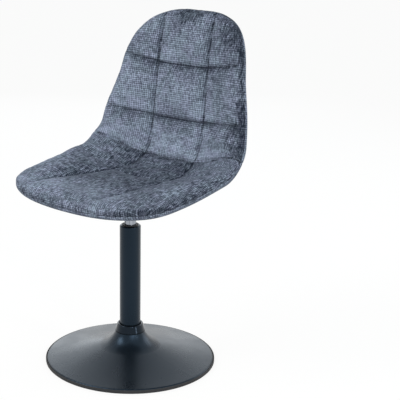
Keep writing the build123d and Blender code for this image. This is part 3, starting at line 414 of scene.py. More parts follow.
class Cloth(Shader):
    """A cloth's material, on the weave's UV map."""

    def __init__(self, name, **surface):
        super().__init__(name, **surface)
        self.flat = self.node("ShaderNodeUVMap", uv_map="weave")

    def flat_noise(self, scale, stretch=(1.0, 1.0, 1.0), detail=4.0, roughness=0.6, output=0):
        """Noise on the unrolled cloth; a stretch above 1 makes it finer that way."""
        where = self.node("ShaderNodeMapping", {"Vector": self.flat, "Scale": stretch})
        return self.node("ShaderNodeTexNoise", {
            "Vector": where, "Scale": scale,
            "Detail": detail, "Roughness": roughness}, output=output)

    def mark(self, label):
        """A number stored on the mesh's points."""
        return self.node("ShaderNodeAttribute", output="Fac", attribute_name=label)

    def loops(self, pitch):
        """How high each spot of a yarn loop stands, and a chance number for each loop."""
        waver = self.node("ShaderNodeVectorMath", {
            0: self.flat_noise(60.0, detail=3.0, output=1),
            1: (0.5, 0.5, 0.5)}, operation="SUBTRACT")
        waver = self.node("ShaderNodeVectorMath", {
            0: waver, "Scale": pitch * WAVER}, operation="SCALE")
        woven = self.node("ShaderNodeVectorMath", {0: self.flat, 1: waver}, operation="ADD")
        parts = self.tree.nodes.new("ShaderNodeSeparateXYZ")
        self.tree.links.new(woven, parts.inputs[0])
        row = self.math("DIVIDE", parts.outputs[0], pitch)
        column = self.math("DIVIDE", parts.outputs[1], pitch * COLUMN_SHARE)
        across, up = [
            self.math("MULTIPLY", self.math("SUBTRACT", self.math("FRACT", count), 0.5), 2.0)
            for count in (column, row)]
        reach = self.math("ADD", self.math("MULTIPLY", across, across),
                          self.math("MULTIPLY", up, up))
        left = self.math("MAXIMUM", self.math("SUBTRACT", LOOP_REACH, reach), 0.0)
        place_in_grid = self.node("ShaderNodeCombineXYZ", {
            0: self.math("FLOOR", column), 1: self.math("FLOOR", row)})
        chance = self.node("ShaderNodeTexWhiteNoise", {"Vector": place_in_grid},
                           noise_dimensions="3D")
        return self.math("SQRT", left), chance


LOOP_PITCH = 0.0050
print("chenille loops:", round(1 / (LOOP_PITCH * LOOP_PITCH * COLUMN_SHARE)), "to a square metre")

# %% [markdown]
# ## Chenille: the tone
# What the eye takes for colour on such cloth is mostly light and shade: the gaps between loops,
# single darker yarns, and patches where the pile was brushed over and looks nearly black. Each of
# these is a layer that dims or brightens the tone, and the layers are multiplied. Marks on the mesh
# say where the pile lies over, where painted shade and light fall and where a seam's fold has its
# painted shade, because only the shape knows that. One ramp at the end turns the tone into yarn
# colours, from navy in the gaps to pale grey blue on the tips.

# %% Chenille
FULL_TONE = 1.8                         # the brightest tone, at the ramp's end
DEEP, SOFT = 0.42, 1.45                 # the yarn between dark and light, and its palest tips


def blend(first, second, share):
    """A colour between two others."""
    return tuple(a + (b - a) * share for a, b in zip(first, second))


def chenille_tone(shader, loop, chance):
    """Light and shade of the cloth, about 1 where nothing dims it."""
    # The pile mark: the pile's lie, with painted shade and light.
    lie_and_shade = shader.mark("pile")
    layers = (                          # (what varies, low, high, tone when low, tone when high)
        (loop, 0.0, 1.0, 0.27, 1.13),                                      # gaps between the loops
        (chance, 0.0, 1.0, 0.70, 1.30),                                    # one loop and the next
        (shader.flat_noise(1.0, (16.0, 230.0, 1.0)), 0.32, 0.68, 0.76, 1.22),      # yarns across
        (shader.flat_noise(1.0, (230.0, 34.0, 1.0)), 0.32, 0.68, 0.74, 1.24),      # yarns along
        (shader.flat_noise(11.0, detail=5.0, roughness=0.5), 0.38, 0.62, 0.79, 1.15),      # clouds
        (shader.flat_noise(38.0, detail=3.0, roughness=0.5), 0.35, 0.65, 0.90, 1.10),
        (shader.flat_noise(1.0, (170.0, 90.0, 1.0), 2.0, 0.6), 0.35, 0.65, 0.86, 1.16),    # slubs
        (lie_and_shade, -0.6, 1.4, 1.52, 0.245),                                   # pile lying over, and painted shade and light
        (shader.mark("seam"), 0.0, 0.9, 1.0, 0.22))                        # painted shade in a seam's fold and a painted shadow below it
    tone = None
    for value, low, high, dim, bright in layers:
        share = shader.range(value, low, high, dim, bright)
        tone = share if tone is None else shader.math("MULTIPLY", tone, share)
    crushed = shader.flat_noise(1.0, (190.0, 62.0, 1.0), 3.0, 0.7)
    crushed = shader.range(crushed, 0.37, 0.63, -0.62, 0.80)
    crushed = shader.math("MULTIPLY", crushed, shader.range(lie_and_shade, 0.35, 0.85, 0.0, 1.0))
    return shader.math("MULTIPLY", tone, shader.math("ADD", crushed, 1.0))


def chenille(name, light, dark):
    """Knobbly woven chenille: yarn loops, mottled where the pile lies, and painted shade."""
    shader = Cloth(name, Roughness=0.95, Sheen_Weight=0.07, Sheen_Roughness=0.5,
                   Sheen_Tint=(0.75, 0.82, 0.95, 1.0), Specular_IOR_Level=0.12)
    loop, chance = shader.loops(LOOP_PITCH)
    tone = chenille_tone(shader, loop, chance)
    hue = shader.flat_noise(26.0, detail=2.0)
    yarn = shader.ramp(shader.math("DIVIDE", tone, FULL_TONE), (0.06, dark),
                       (0.28, blend(dark, light, DEEP)), (0.58, light),
                       (1.0, tuple(SOFT * channel for channel in light)))
    tinted = shader.mix(shader.range(hue, 0.4, 0.6, 0.0, 1.0),
                        (0.97, 1.0, 0.99), (1.02, 0.98, 1.03))
    shader.feed("Base Color", shader.mix(1.0, yarn, tinted, "MULTIPLY"))
    fibre = shader.flat_noise(900.0, detail=4.0, roughness=0.7)
    shader.bump(shader.math("ADD", loop, shader.math("MULTIPLY", fibre, 0.4)), 0.6, 0.0010)
    return shader.material


MATERIALS["chenille"] = chenille("chenille", (0.288, 0.322, 0.394), (0.012, 0.016, 0.027))
print("chenille made of", len(MATERIALS["chenille"].node_tree.nodes), "nodes")

# %% [markdown]
# ## Finishing the hard pieces
# The dish, the column, the lift and the seat's fittings come from the CAD model, where each piece
# says which finish it has. They could be modelled again here, but they would only get less exact.
# So each keeps its mesh and gets the material of its slot.

# %% Finishing the hard pieces
for subpart in frame["record"]["subparts"]:
    cad_object = NODES[subpart["node"]]
    cad_object.data.materials.clear()
    cad_object.data.materials.append(MATERIALS[subpart["material_slot"]])

# %% [markdown]
# ## Floor
# The chair stands on a pale floor that runs back to the horizon without an edge. White paint alone
# would throw light up at the dish from below, or look grey where the lamps are weak. So the floor
# is a plain grey for the light it gives back, and only the rays that show it see a glow of its own
# that lifts it to white. The chair's shadow stays, because it dims the lit part.

# %% Floor
FLOOR_LIFT = 0.86                       # what a lit dark floor lacks to look white to the camera
FLOOR_REACH = 14.0                      # metres from the middle to an edge
FLOOR_GREY = (0.55, 0.54, 0.53)         # for the light it gives back
FLOOR_SEEN = (0.14, 0.14, 0.14)         # under the glow, for the rays that show it


def flat_floor():
    """A pale floor that runs back to the horizon."""
    mesh = bpy.data.meshes.new("floor")
    corners = [(x * FLOOR_REACH, y * FLOOR_REACH, 0)
               for x, y in ((-1, -1), (1, -1), (1, 1), (-1, 1))]
    mesh.from_pydata(corners, [], [(0, 1, 2, 3)])
    floor = bpy.data.objects.new("floor", mesh)
    bpy.context.scene.collection.objects.link(floor)
    shader = Shader("floor", Roughness=0.9, Specular_IOR_Level=0.0,
                    Emission_Color=(1.0, 0.99, 0.98, 1.0))
    seen = seen_rays(shader.tree)
    shader.feed("Base Color", shader.mix(seen, FLOOR_GREY, FLOOR_SEEN))
    shader.feed("Emission Strength", shader.math("MULTIPLY", seen, FLOOR_LIFT))
    floor.data.materials.append(shader.material)
    return floor


flat_floor()
print("floor:", 2 * FLOOR_REACH, "m square")

# %% [markdown]
# ## Where the seams run
# Both cushions are quilted: two long seams and one or two cross seams sew the cloth down to the
# shell, and the foam swells between them. The seams aren't ruled lines. The cross seams bow towards
# the rim, the long ones drift to one side towards the seat's front, where they also fade out. These
# few numbers hold that, each measured along the shell's line in metres.

# %% Where the seams run
SEAT_GAP = 0.0003                       # between the two cushions at the fold
SEAT_SEAM, FOLD_SEAM = 0.261, 0.388
BACK_SEAMS = (0.500, 0.628)
LONG_SEAMS = ((0.0, 0.108), (0.130, 0.104), (0.261, 0.091), (0.381, 0.081), (0.490, 0.081),
              (0.617, 0.079), (0.770, 0.076))
SEAM_DRIFT = ((0.0, -0.030), (0.110, -0.028), (0.180, -0.014), (0.261, -0.006), (0.388, 0.0),
              (0.500, -0.004), (0.628, -0.008), (0.770, -0.019))
SEAM_BOW = {SEAT_SEAM: 0.016, FOLD_SEAM: 0.011, BACK_SEAMS[0]: 0.012, BACK_SEAMS[1]: 0.015}
SEAM_SHADE = {SEAT_SEAM: 0.3, FOLD_SEAM: 0.6, BACK_SEAMS[0]: 1.0, BACK_SEAMS[1]: 1.0}
SEAM_HOLD = {SEAT_SEAM: 0.4}            # a seam not named here holds fully
print("seams: one across the seat,", len(BACK_SEAMS), "across the back, two along both")

# %% [markdown]
# ## The flat plan of a cushion
# A cushion is laid out flat first, as an upholsterer marks up the cloth: its columns run along it
# and fan out into the rounded corners of its closed end, so that every sewn seam follows a column
# or a row of the mesh. A plain grid cut to the outline would leave ragged steps at the rim and
# seams that cross the faces. The same plan, drawn in by an inset, gives the top, each step of the
# rim and the underside.

# %% The flat plan
LOOSE_FRONT = 0.02                      # the seat's long seams begin this far behind its front


class Plan:
    """The flat plan of one cushion, from its closed, rounded end to the fold.

    Depth is measured from the closed end: sign says which way that runs along the shell's line,
    and origin where it starts. The rounded end reaches round_length deep and is a curve of some
    power; corner is where it turns, as a share of the half width. The long seams fade out over
    a length of fade behind the front.
    """

    def __init__(self, sign, origin, length, cross_seams, end_zone, round_length,
                 power, corner, fade):
        self.sign, self.origin, self.length, self.cross_seams = sign, origin, length, cross_seams
        self.end_zone, self.round_length, self.power = end_zone, round_length, power
        self.corner, self.fade = corner, fade

    def along(self, depth):
        """Distance along the shell's line at a depth from the closed end."""
        return self.origin + self.sign * depth

    def outline_depth(self, share, inset):
        """Depth of the rounded end at a share of the half width."""
        closed = 1 - (1 - min(1.0, abs(share)) ** self.power) ** (1 / self.power)
        return inset + (self.round_length - inset) * closed

    def outline_share(self, depth, inset):
        """Share of the half width left by the rounded end at a depth."""
        gone = max(0.0, 1 - (depth - inset) / (self.round_length - inset))
        return (1 - gone ** self.power) ** (1 / self.power)

    def half(self, depth, inset):
        """Half the width at a depth, drawn in by an inset."""
        return smooth(HALF_WIDTH, self.along(depth)) - inset

    def seam_line(self, side, depth):
        """Where the long seam on one side lies, across the cushion."""
        along = self.along(depth)
        return side * smooth(LONG_SEAMS, along) + smooth(SEAM_DRIFT, along)

    def bowed(self, mark, share):
        """Depth of a cross seam at a share of the half width: the seams rise towards the rim."""
        return mark + self.sign * SEAM_BOW.get(round(self.along(mark), 3), 0.0) * share * share

    def seam_fade(self, depth):
        """How firmly the long seams hold: they fade out at the seat's front."""
        return 1.0 if not self.fade else min(1.0, max(0.0, (depth - LOOSE_FRONT) / self.fade))

    def hold(self, seam):
        """How firmly a cross seam holds the cloth down."""
        return SEAM_HOLD.get(round(self.along(seam), 3), 1.0)


SEAT = Plan(sign=1, origin=0.0, length=FOLD_SEAM - SEAT_GAP / 2, cross_seams=(SEAT_SEAM,),
            end_zone=0.125, round_length=0.115, power=2.82, corner=0.895, fade=0.10)
BACK = Plan(sign=-1, origin=LINE_LENGTH, length=LINE_LENGTH - FOLD_SEAM - SEAT_GAP / 2,
            cross_seams=tuple(LINE_LENGTH - seam for seam in reversed(BACK_SEAMS)),
            end_zone=LINE_LENGTH - BACK_SEAMS[1],
            round_length=0.150, power=2.78, corner=0.806, fade=0.0)
print("plans:", round(SEAT.length, 4), "m of seat and", round(BACK.length, 4), "m of back")

# %% [markdown]
# ## Rows and columns
# The mesh needs faces of nearly even size, or the simulation later pulls it out of shape. Each zone
# between two seams is cut into as many rows as fit, so that a row lies on every seam. The columns
# do the same across: one zone on each side of the long seams and one between them.

# %% Rows and columns
ROUND_START = 0.012                     # about where the rounded end's face begins


def lay_columns(middle, side):
    """The columns as (zone, part of the way) from left to right: side, middle, side."""
    columns = [(-1, 1 - k / side) for k in range(side)]
    columns += [(0, -1 + 2 * k / middle) for k in range(middle)]
    return columns + [(0, 1.0)] + [(1, k / side) for k in range(1, side + 1)]


def lay_rows(plan, step):
    """The rows as (low, high, part of the way); low is None in the rounded end."""
    marks = sorted({plan.end_zone, *plan.cross_seams, plan.length})
    rows = []
    for low, high in zip([None, *marks], marks):
        count = max(4, round((high - (low or ROUND_START)) / step))
        rows += [(low, high, k / count) for k in range(count)]
    return rows + [(marks[-2], marks[-1], 1.0)]


GRID_STEP = 0.0054
print("rows on the seat and the back:", [len(lay_rows(plan, GRID_STEP)) for plan in (SEAT, BACK)])

# %% [markdown]
# ## Where a column meets a row
# On a rectangle this would be a multiplication. Here the columns fan out with the seams and the
# rim, and the rows bow with the cross seams, so each spot is found from both. The rounded corners
# are the hard part: a corner is a patch between four curved edges, and its inside is spread between
# them, as in a cloth stretched over four bent wires. That keeps the faces even right into it.

# %% Where a column meets a row
START_TRIES = 4                         # steps to find where a column meets the rounded end


def column_share(plan, zone, part, depth, inset):
    """Share of the half width of a column at a depth."""
    left, right = [plan.seam_line(side, depth) / plan.half(depth, inset) for side in (-1, 1)]
    if zone == 0:
        return left + (right - left) * (part + 1) / 2
    edge = right if zone > 0 else left
    return edge + (zone * plan.outline_share(depth, inset) - edge) * abs(part)


def corner_spot(plan, zone, across, high, down, start, inset):
    """A spot in a rounded corner, spread evenly between its four edges."""
    def front(part):
        share = seam + (zone * plan.corner - seam) * part
        return share, plan.outline_depth(share, inset)

    def back(part):
        share = column_share(plan, zone, part, high, inset)
        return share, plan.bowed(high, share)

    def side(part, edge):
        depth = front(edge)[1] * (1 - part) + back(edge)[1] * part
        return column_share(plan, zone, edge, depth, inset), depth

    seam = column_share(plan, zone, 0.0, start, inset)
    return tuple(
        (1 - down) * front(across)[k] + down * back(across)[k]
        + (1 - across) * side(down, 0.0)[k] + across * side(down, 1.0)[k]
        - (1 - across) * ((1 - down) * front(0.0)[k] + down * back(0.0)[k])
        - across * ((1 - down) * front(1.0)[k] + down * back(1.0)[k]) for k in (0, 1))


def plan_spot(plan, zone, part, row, inset):
    """Share of the half width and depth where a column meets a row (low, high, part of the way)."""
    low, high, down = row
    if low is not None:
        share = column_share(plan, zone, part, low + (high - low) * down, inset)
        depth = plan.bowed(low, share) * (1 - down) + plan.bowed(high, share) * down
        return column_share(plan, zone, part, depth, inset), depth
    middle, start = zone == 0, inset
    for _ in range(START_TRIES):
        share = column_share(plan, zone, part if middle else 0.0, start, inset)
        start = plan.outline_depth(share, inset)
    if middle:
        end = plan.bowed(high, column_share(plan, zone, part, high, inset))
        depth = start + (end - start) * down
        return column_share(plan, zone, part, depth, inset), depth
    return corner_spot(plan, zone, abs(part), high, down, start, inset)


front_row = lay_rows(SEAT, GRID_STEP)[0]
corner_place = plan_spot(SEAT, 1, 1.0, front_row, 0.0)
print("the seat's front corner:", [round(value, 3) for value in corner_place])

# %% [markdown]
# ## From plan to closed mesh
# A cushion is a closed bag: a face, a rolled rim and a flat side against the shell. Extruding a
# sheet would give walls at a right angle. Here the rim is a row of insets and heights, each laid
# round the plan, so its roundness is drawn like a turned profile. Every point remembers where it
# lies on the unrolled cloth. That becomes the UV map of the weave, so the rows of yarn run on over
# the rim.

# %% A mesh built in rows
SPOTS_PER_METRE = 2e5                   # nearer spots than this tells apart are one point


class Form:
    """A closed mesh built up from rows of points, each with its place on the flat cloth."""

    def __init__(self):
        self.points, self.flat, self.faces, self.index = [], [], [], {}

    def point(self, spot, flat):
        """The number of the point at a spot, which is added if it is new."""
        key = tuple(round(value * SPOTS_PER_METRE) for value in spot)
        if key not in self.index:
            self.index[key] = len(self.points)
            self.points.append(spot)
            self.flat.append(flat)
        return self.index[key]

    def strip(self, first, second):
        """Faces between two rows of as many point numbers."""
        for corners in zip(first, first[1:], second[1:], second):
            face = tuple(dict.fromkeys(corners))
            if len(face) > 2:
                self.faces.append(face)

    def object(self, name):
        """The mesh as an object, with the weave's UV map and the places on the flat."""
        mesh = bpy.data.meshes.new(name)
        mesh.from_pydata([tuple(spot) for spot in self.points], [], self.faces)
        shape = bmesh.new()
        shape.from_mesh(mesh)
        bmesh.ops.recalc_face_normals(shape, faces=shape.faces)
        shape.to_mesh(mesh)
        shape.free()
        weave = mesh.uv_layers.new(name="weave")
        for loop in mesh.loops:
            weave.data[loop.index].uv = self.flat[loop.vertex_index]
        for axis, label in enumerate(("across", "along")):
            values = mesh.attributes.new(label, "FLOAT", "POINT").data
            for number, flat in enumerate(self.flat):
                values[number].value = flat[axis]
        made = bpy.data.objects.new(name, mesh)
        bpy.context.scene.collection.objects.link(made)
        return made


def join_columns(form, wall, column):
    """Triangles between two columns with different numbers of points."""
    a, b = 0, 0
    while a < len(wall) - 1 or b < len(column) - 1:
        behind = (a + 1) * (len(column) - 1) <= (b + 1) * (len(wall) - 1)
        if b == len(column) - 1 or (a < len(wall) - 1 and behind):
            corners = (wall[a], wall[a + 1], column[b])
            a += 1
        else:
            corners = (wall[a], column[b + 1], column[b])
            b += 1
        if len(set(corners)) == 3:
            form.faces.append(corners)


sample = Form()
sample.strip(*[[sample.point(Vector((x, y, 0)), (x, y)) for x in (0, 1)] for y in (0, 1)])
print("a strip between two pairs of points:", len(sample.points), "points and",
      len(sample.faces), "face")

# %% [markdown]
# ## Face, rim and side
# With rows of points at hand the bag is closed in one go: the face, the steps of the rim round
# three sides, the side against the shell, and a flat end at the fold, where the other cushion
# follows. A Solidify modifier would give the face a wall, but no rolled rim. Points that fall
# together are shared, so the mesh is truly closed and holds its pressure when it is blown up.

# %% A closed cushion or cover
END_STEPS = 3                           # rows of faces on the flat end at the fold


def closed_form(plan, columns, rows, profile, face_height):
    """A cushion or cover: face, rim and the side against the shell, closed with a flat end."""
    form, last, width = Form(), len(rows) - 1, len(columns) - 1

    def place_spot(j, row, inset, height, run=0.0):
        zone, part = columns[j]
        share, depth = plan_spot(plan, zone, part, row, inset)
        sideways = share * plan.half(depth, inset)
        side = math.copysign(1.0, share)
        flat = (sideways + side * run, plan.along(depth))
        if row is rows[0]:
            flat = (sideways, plan.along(depth - run))
        return form.point(place(plan.along(depth), sideways, height), flat)

    def grid(inset, height):
        return [[place_spot(j, row, inset, height(*column, *plan_spot(plan, *column, row, inset)))
                 for j, column in enumerate(columns)] for row in rows]

    inset, height = profile[-1]
    face, inner = grid(profile[0][0], face_height), grid(inset, lambda *where: height)
    chain = [(i, 0) for i in range(last, 0, -1)] + [(0, j) for j in range(width + 1)]
    chain += [(i, width) for i in range(1, last + 1)]
    strips, run = [[face[i][j] for i, j in chain]], 0.0
    for (near, near_height), (inset, height) in zip(profile, profile[1:-1]):
        run += math.hypot(inset - near, height - near_height)
        strips.append([place_spot(j, rows[i], inset, height, run) for i, j in chain])
    strips.append([inner[i][j] for i, j in chain])
    for skin in (face, inner, strips):
        for first, second in zip(skin, skin[1:]):
            form.strip(first, second)
    end = [face[last]]
    for k in range(1, END_STEPS):
        end.append([form.point(form.points[a].lerp(form.points[b], k / END_STEPS), form.flat[a])
                    for a, b in zip(face[last][1:-1], inner[last][1:-1])])
    for first, second in zip(end[1:], end[2:]):
        form.strip(first, second)
    form.strip(face[last][1:-1], end[1])
    form.strip(end[-1], inner[last][1:-1])
    for side, beside in ((0, 1), (-1, -2)):
        wall = [strip[side] for strip in strips]
        column = [face[last][beside], *[row[side] for row in end[1:]], inner[last][beside]]
        join_columns(form, wall, column)
    return form, face, inner, strips, end


RIM_COVER = 0.012                       # padding outside the moulded shell
# Rim of a cushion, from its face down to the shell: (inset, height over the shell's middle)
PAD_PROFILE = ((0.0125, 0.0200), (0.0088, 0.0196), (0.0056, 0.0180), (0.0030, 0.0152),
               (0.0012, 0.0115), (0.0003, 0.0078), (0.0002, 0.0040), (0.0004, 0.0004),
               (RIM_COVER - 0.0006, 0.0004), (RIM_COVER - 0.0006, 0.0046))
print("rim:", len(PAD_PROFILE) - 1, "steps,", PAD_PROFILE[0][1], "m high at the face")

# %% [markdown]
# ## Fullness between the seams
# Before it is blown up, the face already has its swellings: low along the seams, full in the middle
# of each panel. The simulation could do all of it from a flat sheet, but it would wrinkle at
# random. Starting near the true height keeps the panels where they belong. The fullness rises like
# a quarter circle, as foam does beside a stitched line.

# %% Fullness between the seams
PAD_SEAM, PAD_CROWN, PAD_SIDE = 0.0185, 0.0250, 0.0240  # height at a seam, mid panel, side panel
PUFF_LENGTH = 0.040


def puff(distance):
    """Fullness of a panel at a distance from a seam."""
    gone = max(0.0, 1 - distance / PUFF_LENGTH)
    return math.sqrt(1 - gone * gone)


def sewn_height(plan):
    """The height of a cushion's top over the shell: low along its seams, full between them."""
    def height(zone, part, share, depth):
        rows_share = min(puff(abs(depth - seam)) for seam in (*plan.cross_seams, plan.length))
        crown = PAD_SEAM + (PAD_CROWN - PAD_SEAM) * rows_share
        sewn = crown + (PAD_SEAM - crown) * plan.seam_fade(depth)
        if zone == 0:
            return sewn + (crown - sewn) * (1 - abs(part) ** 5)
        rim = PAD_PROFILE[0][1]
        side_crown = PAD_SEAM + (PAD_SIDE - PAD_SEAM) * rows_share
        bow = min(1.0, 5 * abs(part)) ** 0.7 * (1 - abs(part) ** 3)
        return sewn + (rim - sewn) * abs(part) + max(0.0, side_crown - (sewn + rim) / 2) * bow
    return height


print("fullness 10 mm from a seam:", round(puff(0.010), 2))

# %% [markdown]
# ## Blowing up the cushions
# Upholstery swells because it is stuffed: the cloth is a little larger than its place and is pushed
# out from inside. Blender's cloth simulation does just that, with pressure in a closed bag and some
# slack, while the sewn seams and the side against the shell are pinned. Sculpting could look as
# good but would not come out the same each time. Every move is capped, so no fold can burst
# through.

# %% Blowing up
PRESSURE, SLACK = 3.5, 0.008            # push from inside, and how much larger the cloth is
FURTHEST, FRAMES = 0.008, 20            # the cap on a move in metres, and frames of simulation


def blow_up(made, held):
    """Cloth simulation of a sewn cushion; its held vertices stay, and moves are capped."""
    start = [vertex.co.copy() for vertex in made.data.vertices]
    pins = made.vertex_groups.new(name="held")
    for number, weight in held.items():
        pins.add([number], weight, "REPLACE")
    cloth = made.modifiers.new("cloth", "CLOTH")
    cloth.settings.quality = 7
    cloth.settings.mass = 0.3
    cloth.settings.tension_stiffness = cloth.settings.compression_stiffness = 20.0
    cloth.settings.shear_stiffness = 10.0
    cloth.settings.bending_stiffness = 0.15
    cloth.settings.vertex_group_mass = pins.name
    cloth.settings.shrink_min = -SLACK
    cloth.settings.use_pressure = True
    cloth.settings.uniform_pressure_force = PRESSURE
    cloth.settings.effector_weights.gravity = 0.0
    cloth.point_cache.frame_start, cloth.point_cache.frame_end = 1, FRAMES
    for number in range(1, FRAMES + 1):
        bpy.context.scene.frame_set(number)
    shape = made.evaluated_get(bpy.context.evaluated_depsgraph_get())
    end = [vertex.co.copy() for vertex in shape.data.vertices]
    made.modifiers.remove(cloth)
    bpy.context.scene.frame_set(1)
    moves = [after - before for before, after in zip(start, end)]
    for vertex, before, move in zip(made.data.vertices, start, moves):
        capped = move if move.length <= FURTHEST else move * (FURTHEST / move.length)
        vertex.co = before + capped
    lengths = [move.length for move in moves]
    print(made.name, "blown up: average move", round(sum(lengths) / len(lengths) * 1000, 2),
          "mm, furthest", round(max(lengths) * 1000, 2), "mm before the cap")


print("cloth simulation:", "ready")

# %% [markdown]
# ## Dividing with creases
# Simulated cloth comes out in flat facets. Subdivision rounds them, but it would round the sewn
# lines and the edge against the shell away as well. Edges along these get a crease, which holds
# them down in part, and the result is stored as a plain mesh.

# %% Dividing with creases
def crease_ring(creased, ring, sharpness):
    """Keep the edges along a ring of points crisp when the mesh is divided."""
    for a, b in zip(ring, ring[1:]):
        creased[frozenset((a, b))] = sharpness


def divided(made, creased):
    """The object's mesh divided smoothly, with its creased edges kept, as a plain mesh."""
    crease = made.data.attributes.new("crease_edge", "FLOAT", "EDGE")
    for edge in made.data.edges:
        crease.data[edge.index].value = creased.get(frozenset(edge.vertices), 0.0)
    divide = made.modifiers.new("divide", "SUBSURF")
    divide.levels = divide.render_levels = 1
    shape = made.evaluated_get(bpy.context.evaluated_depsgraph_get())
    smooth_mesh = bpy.data.meshes.new_from_object(shape)
    made.modifiers.clear()
    made.vertex_groups.clear()
    made.data = smooth_mesh
    for polygon in smooth_mesh.polygons:
        polygon.use_smooth = True


RIM_CREASE, SEAM_CREASE = 0.8, 0.6
print("creases: rim", RIM_CREASE, "and seams", SEAM_CREASE)

# %% [markdown]
# ## How the pile lies, and painted shade
# Chenille changes its shade with the way its pile lies, and this mark carries painted shade and
# light as well. The seat's dish, where people sit, is dark: partly pressed-down pile, partly
# painted shade. The lips of the panels beside the seat's long seams get a painted highlight, and
# the back is painted lighter low down and on the left. Noise alone would put the dark anywhere, so
# this function says how dark the pile and the painted shade are at each spot of the unrolled cloth.

# %% How the pile lies, and painted shade
def ease(value, low, high):
    """0 below low, 1 above high and even between."""
    return max(0.0, min(1.0, (value - low) / (high - low)))


def pile(across, along):
    """How dark pile and painted shade make a spot: most in the seat's dish, least low on the back.
    """
    if along > FOLD_SEAM:
        # On the back: painted shade at the top and on the right, painted light low down and on the
        # left.
        top = ease(along, 0.62, 0.68) * ease(across, -0.07, -0.03) + 0.4 * ease(across, 0.06, 0.12)
        flank = ease(across, 0.165, 0.195) * (1 - ease(along, 0.50, 0.60))
        low = 1 - ease(along, 0.46, 0.64)
        return 0.27 + 0.75 * flank + 0.30 * top - 0.36 * low - 0.14 * ease(-across, 0.05, 0.15)
    # On the seat: the dish darker, partly pressed pile and partly painted shade; painted shade on
    # the right front flank, painted light on the left, and a painted highlight on the lips beside
    # the long seams.
    inside = (1 - min(1.0, (abs(across + 0.02) / 0.22) ** 4)) * ease(along, 0.05, 0.15)
    flank = ease(across, 0.11, 0.15) * (1 - ease(along, 0.20, 0.30))
    left = ease(-across, 0.12, 0.18)
    lips = [abs(across - SEAT.seam_line(side, along) - 0.014) for side in (-1, 1)]
    lip = max(math.exp(-(away / 0.010) ** 2) for away in lips) * (1 - ease(along, 0.16, 0.24))
    return 0.52 + 0.60 * inside + 0.34 * flank * (1 - inside) - 0.16 * left - 0.40 * lip


print("pile: dish", round(pile(0.0, 0.20), 2), "back", round(pile(0.0, 0.50), 2))

# %% [markdown]
# ## What the seams near a spot do
# Each seam pulls at the cloth beside it, and less the further away. One function gives the distance
# of every seam from a spot, how firmly it holds and how dark the painted shade in its fold is. It
# could search for the nearest sewn point of the mesh, but the plan knows where the seams run, so
# the distance is exact and smooth. Where seams cross, the painted shade of the fold is darker, and
# below the back's cross seams the painted shadow is wider, because the panel above hangs over.

# %% What the seams near a spot do
def seams_near(plan, across, along):
    """Each seam's distance from a spot, how firmly it holds, its fold's painted shade and shadow.
    """
    depth = (along - plan.origin) * plan.sign
    share = across / plan.half(depth, 0.0)
    firm = plan.seam_fade(depth)
    lengthwise = [abs(across - plan.seam_line(side, depth)) for side in (-1, 1)]
    crosswise = [depth - plan.bowed(seam, share) for seam in (*plan.cross_seams, plan.length)]
    crossing = max(math.exp(-(distance / 0.030) ** 2) for distance in crosswise)
    found = [(distance, firm, firm * shade * (0.5 + 0.5 * crossing), 0.15)
             for distance, shade in zip(lengthwise, (0.75, 0.95))]
    crossing = max(math.exp(-(distance / 0.040) ** 2) for distance in lengthwise)
    for distance, seam in zip(crosswise, (*plan.cross_seams, plan.length)):
        shade = (SEAM_SHADE.get(round(plan.along(seam), 3), 0.5)
                 * (1 - 0.6 * min(1.0, abs(share)) ** 3))
        below = 0.50 + 0.22 * crossing if distance > 0 and plan.sign < 0 else 0.1
        found.append((abs(distance), plan.hold(seam), shade * (0.85 + 0.25 * crossing), below))
    return found


print("seams near the seat's middle:", [round(seam[0], 3) for seam in seams_near(SEAT, 0.0, 0.2)])

# %% [markdown]
# ## Drawing in the seams
# A thread pulled tight makes a groove, a dark fold and small puckers beside it, which no soft
# simulation at this size of face can show. A bump in the material would show them only from the
# front. So each point of the mesh is moved along its normal by what the seams near it ask for, and
# a slow noise keeps the panels from being too even. The same distances give the mark of painted
# shade in the fold and of a painted shadow below it, and the pile's mark gets painted light and
# shade from the way each point faces.

# %% Drawing in the seams
GROOVE, PUCKER, UNEVENNESS = 0.0042, 0.0020, 0.0014
GROOVE_WIDTH, PUCKER_REACH, FOLD_WIDTH, SHADOW_WIDTH = 0.0040, 0.012, 0.0027, 0.011


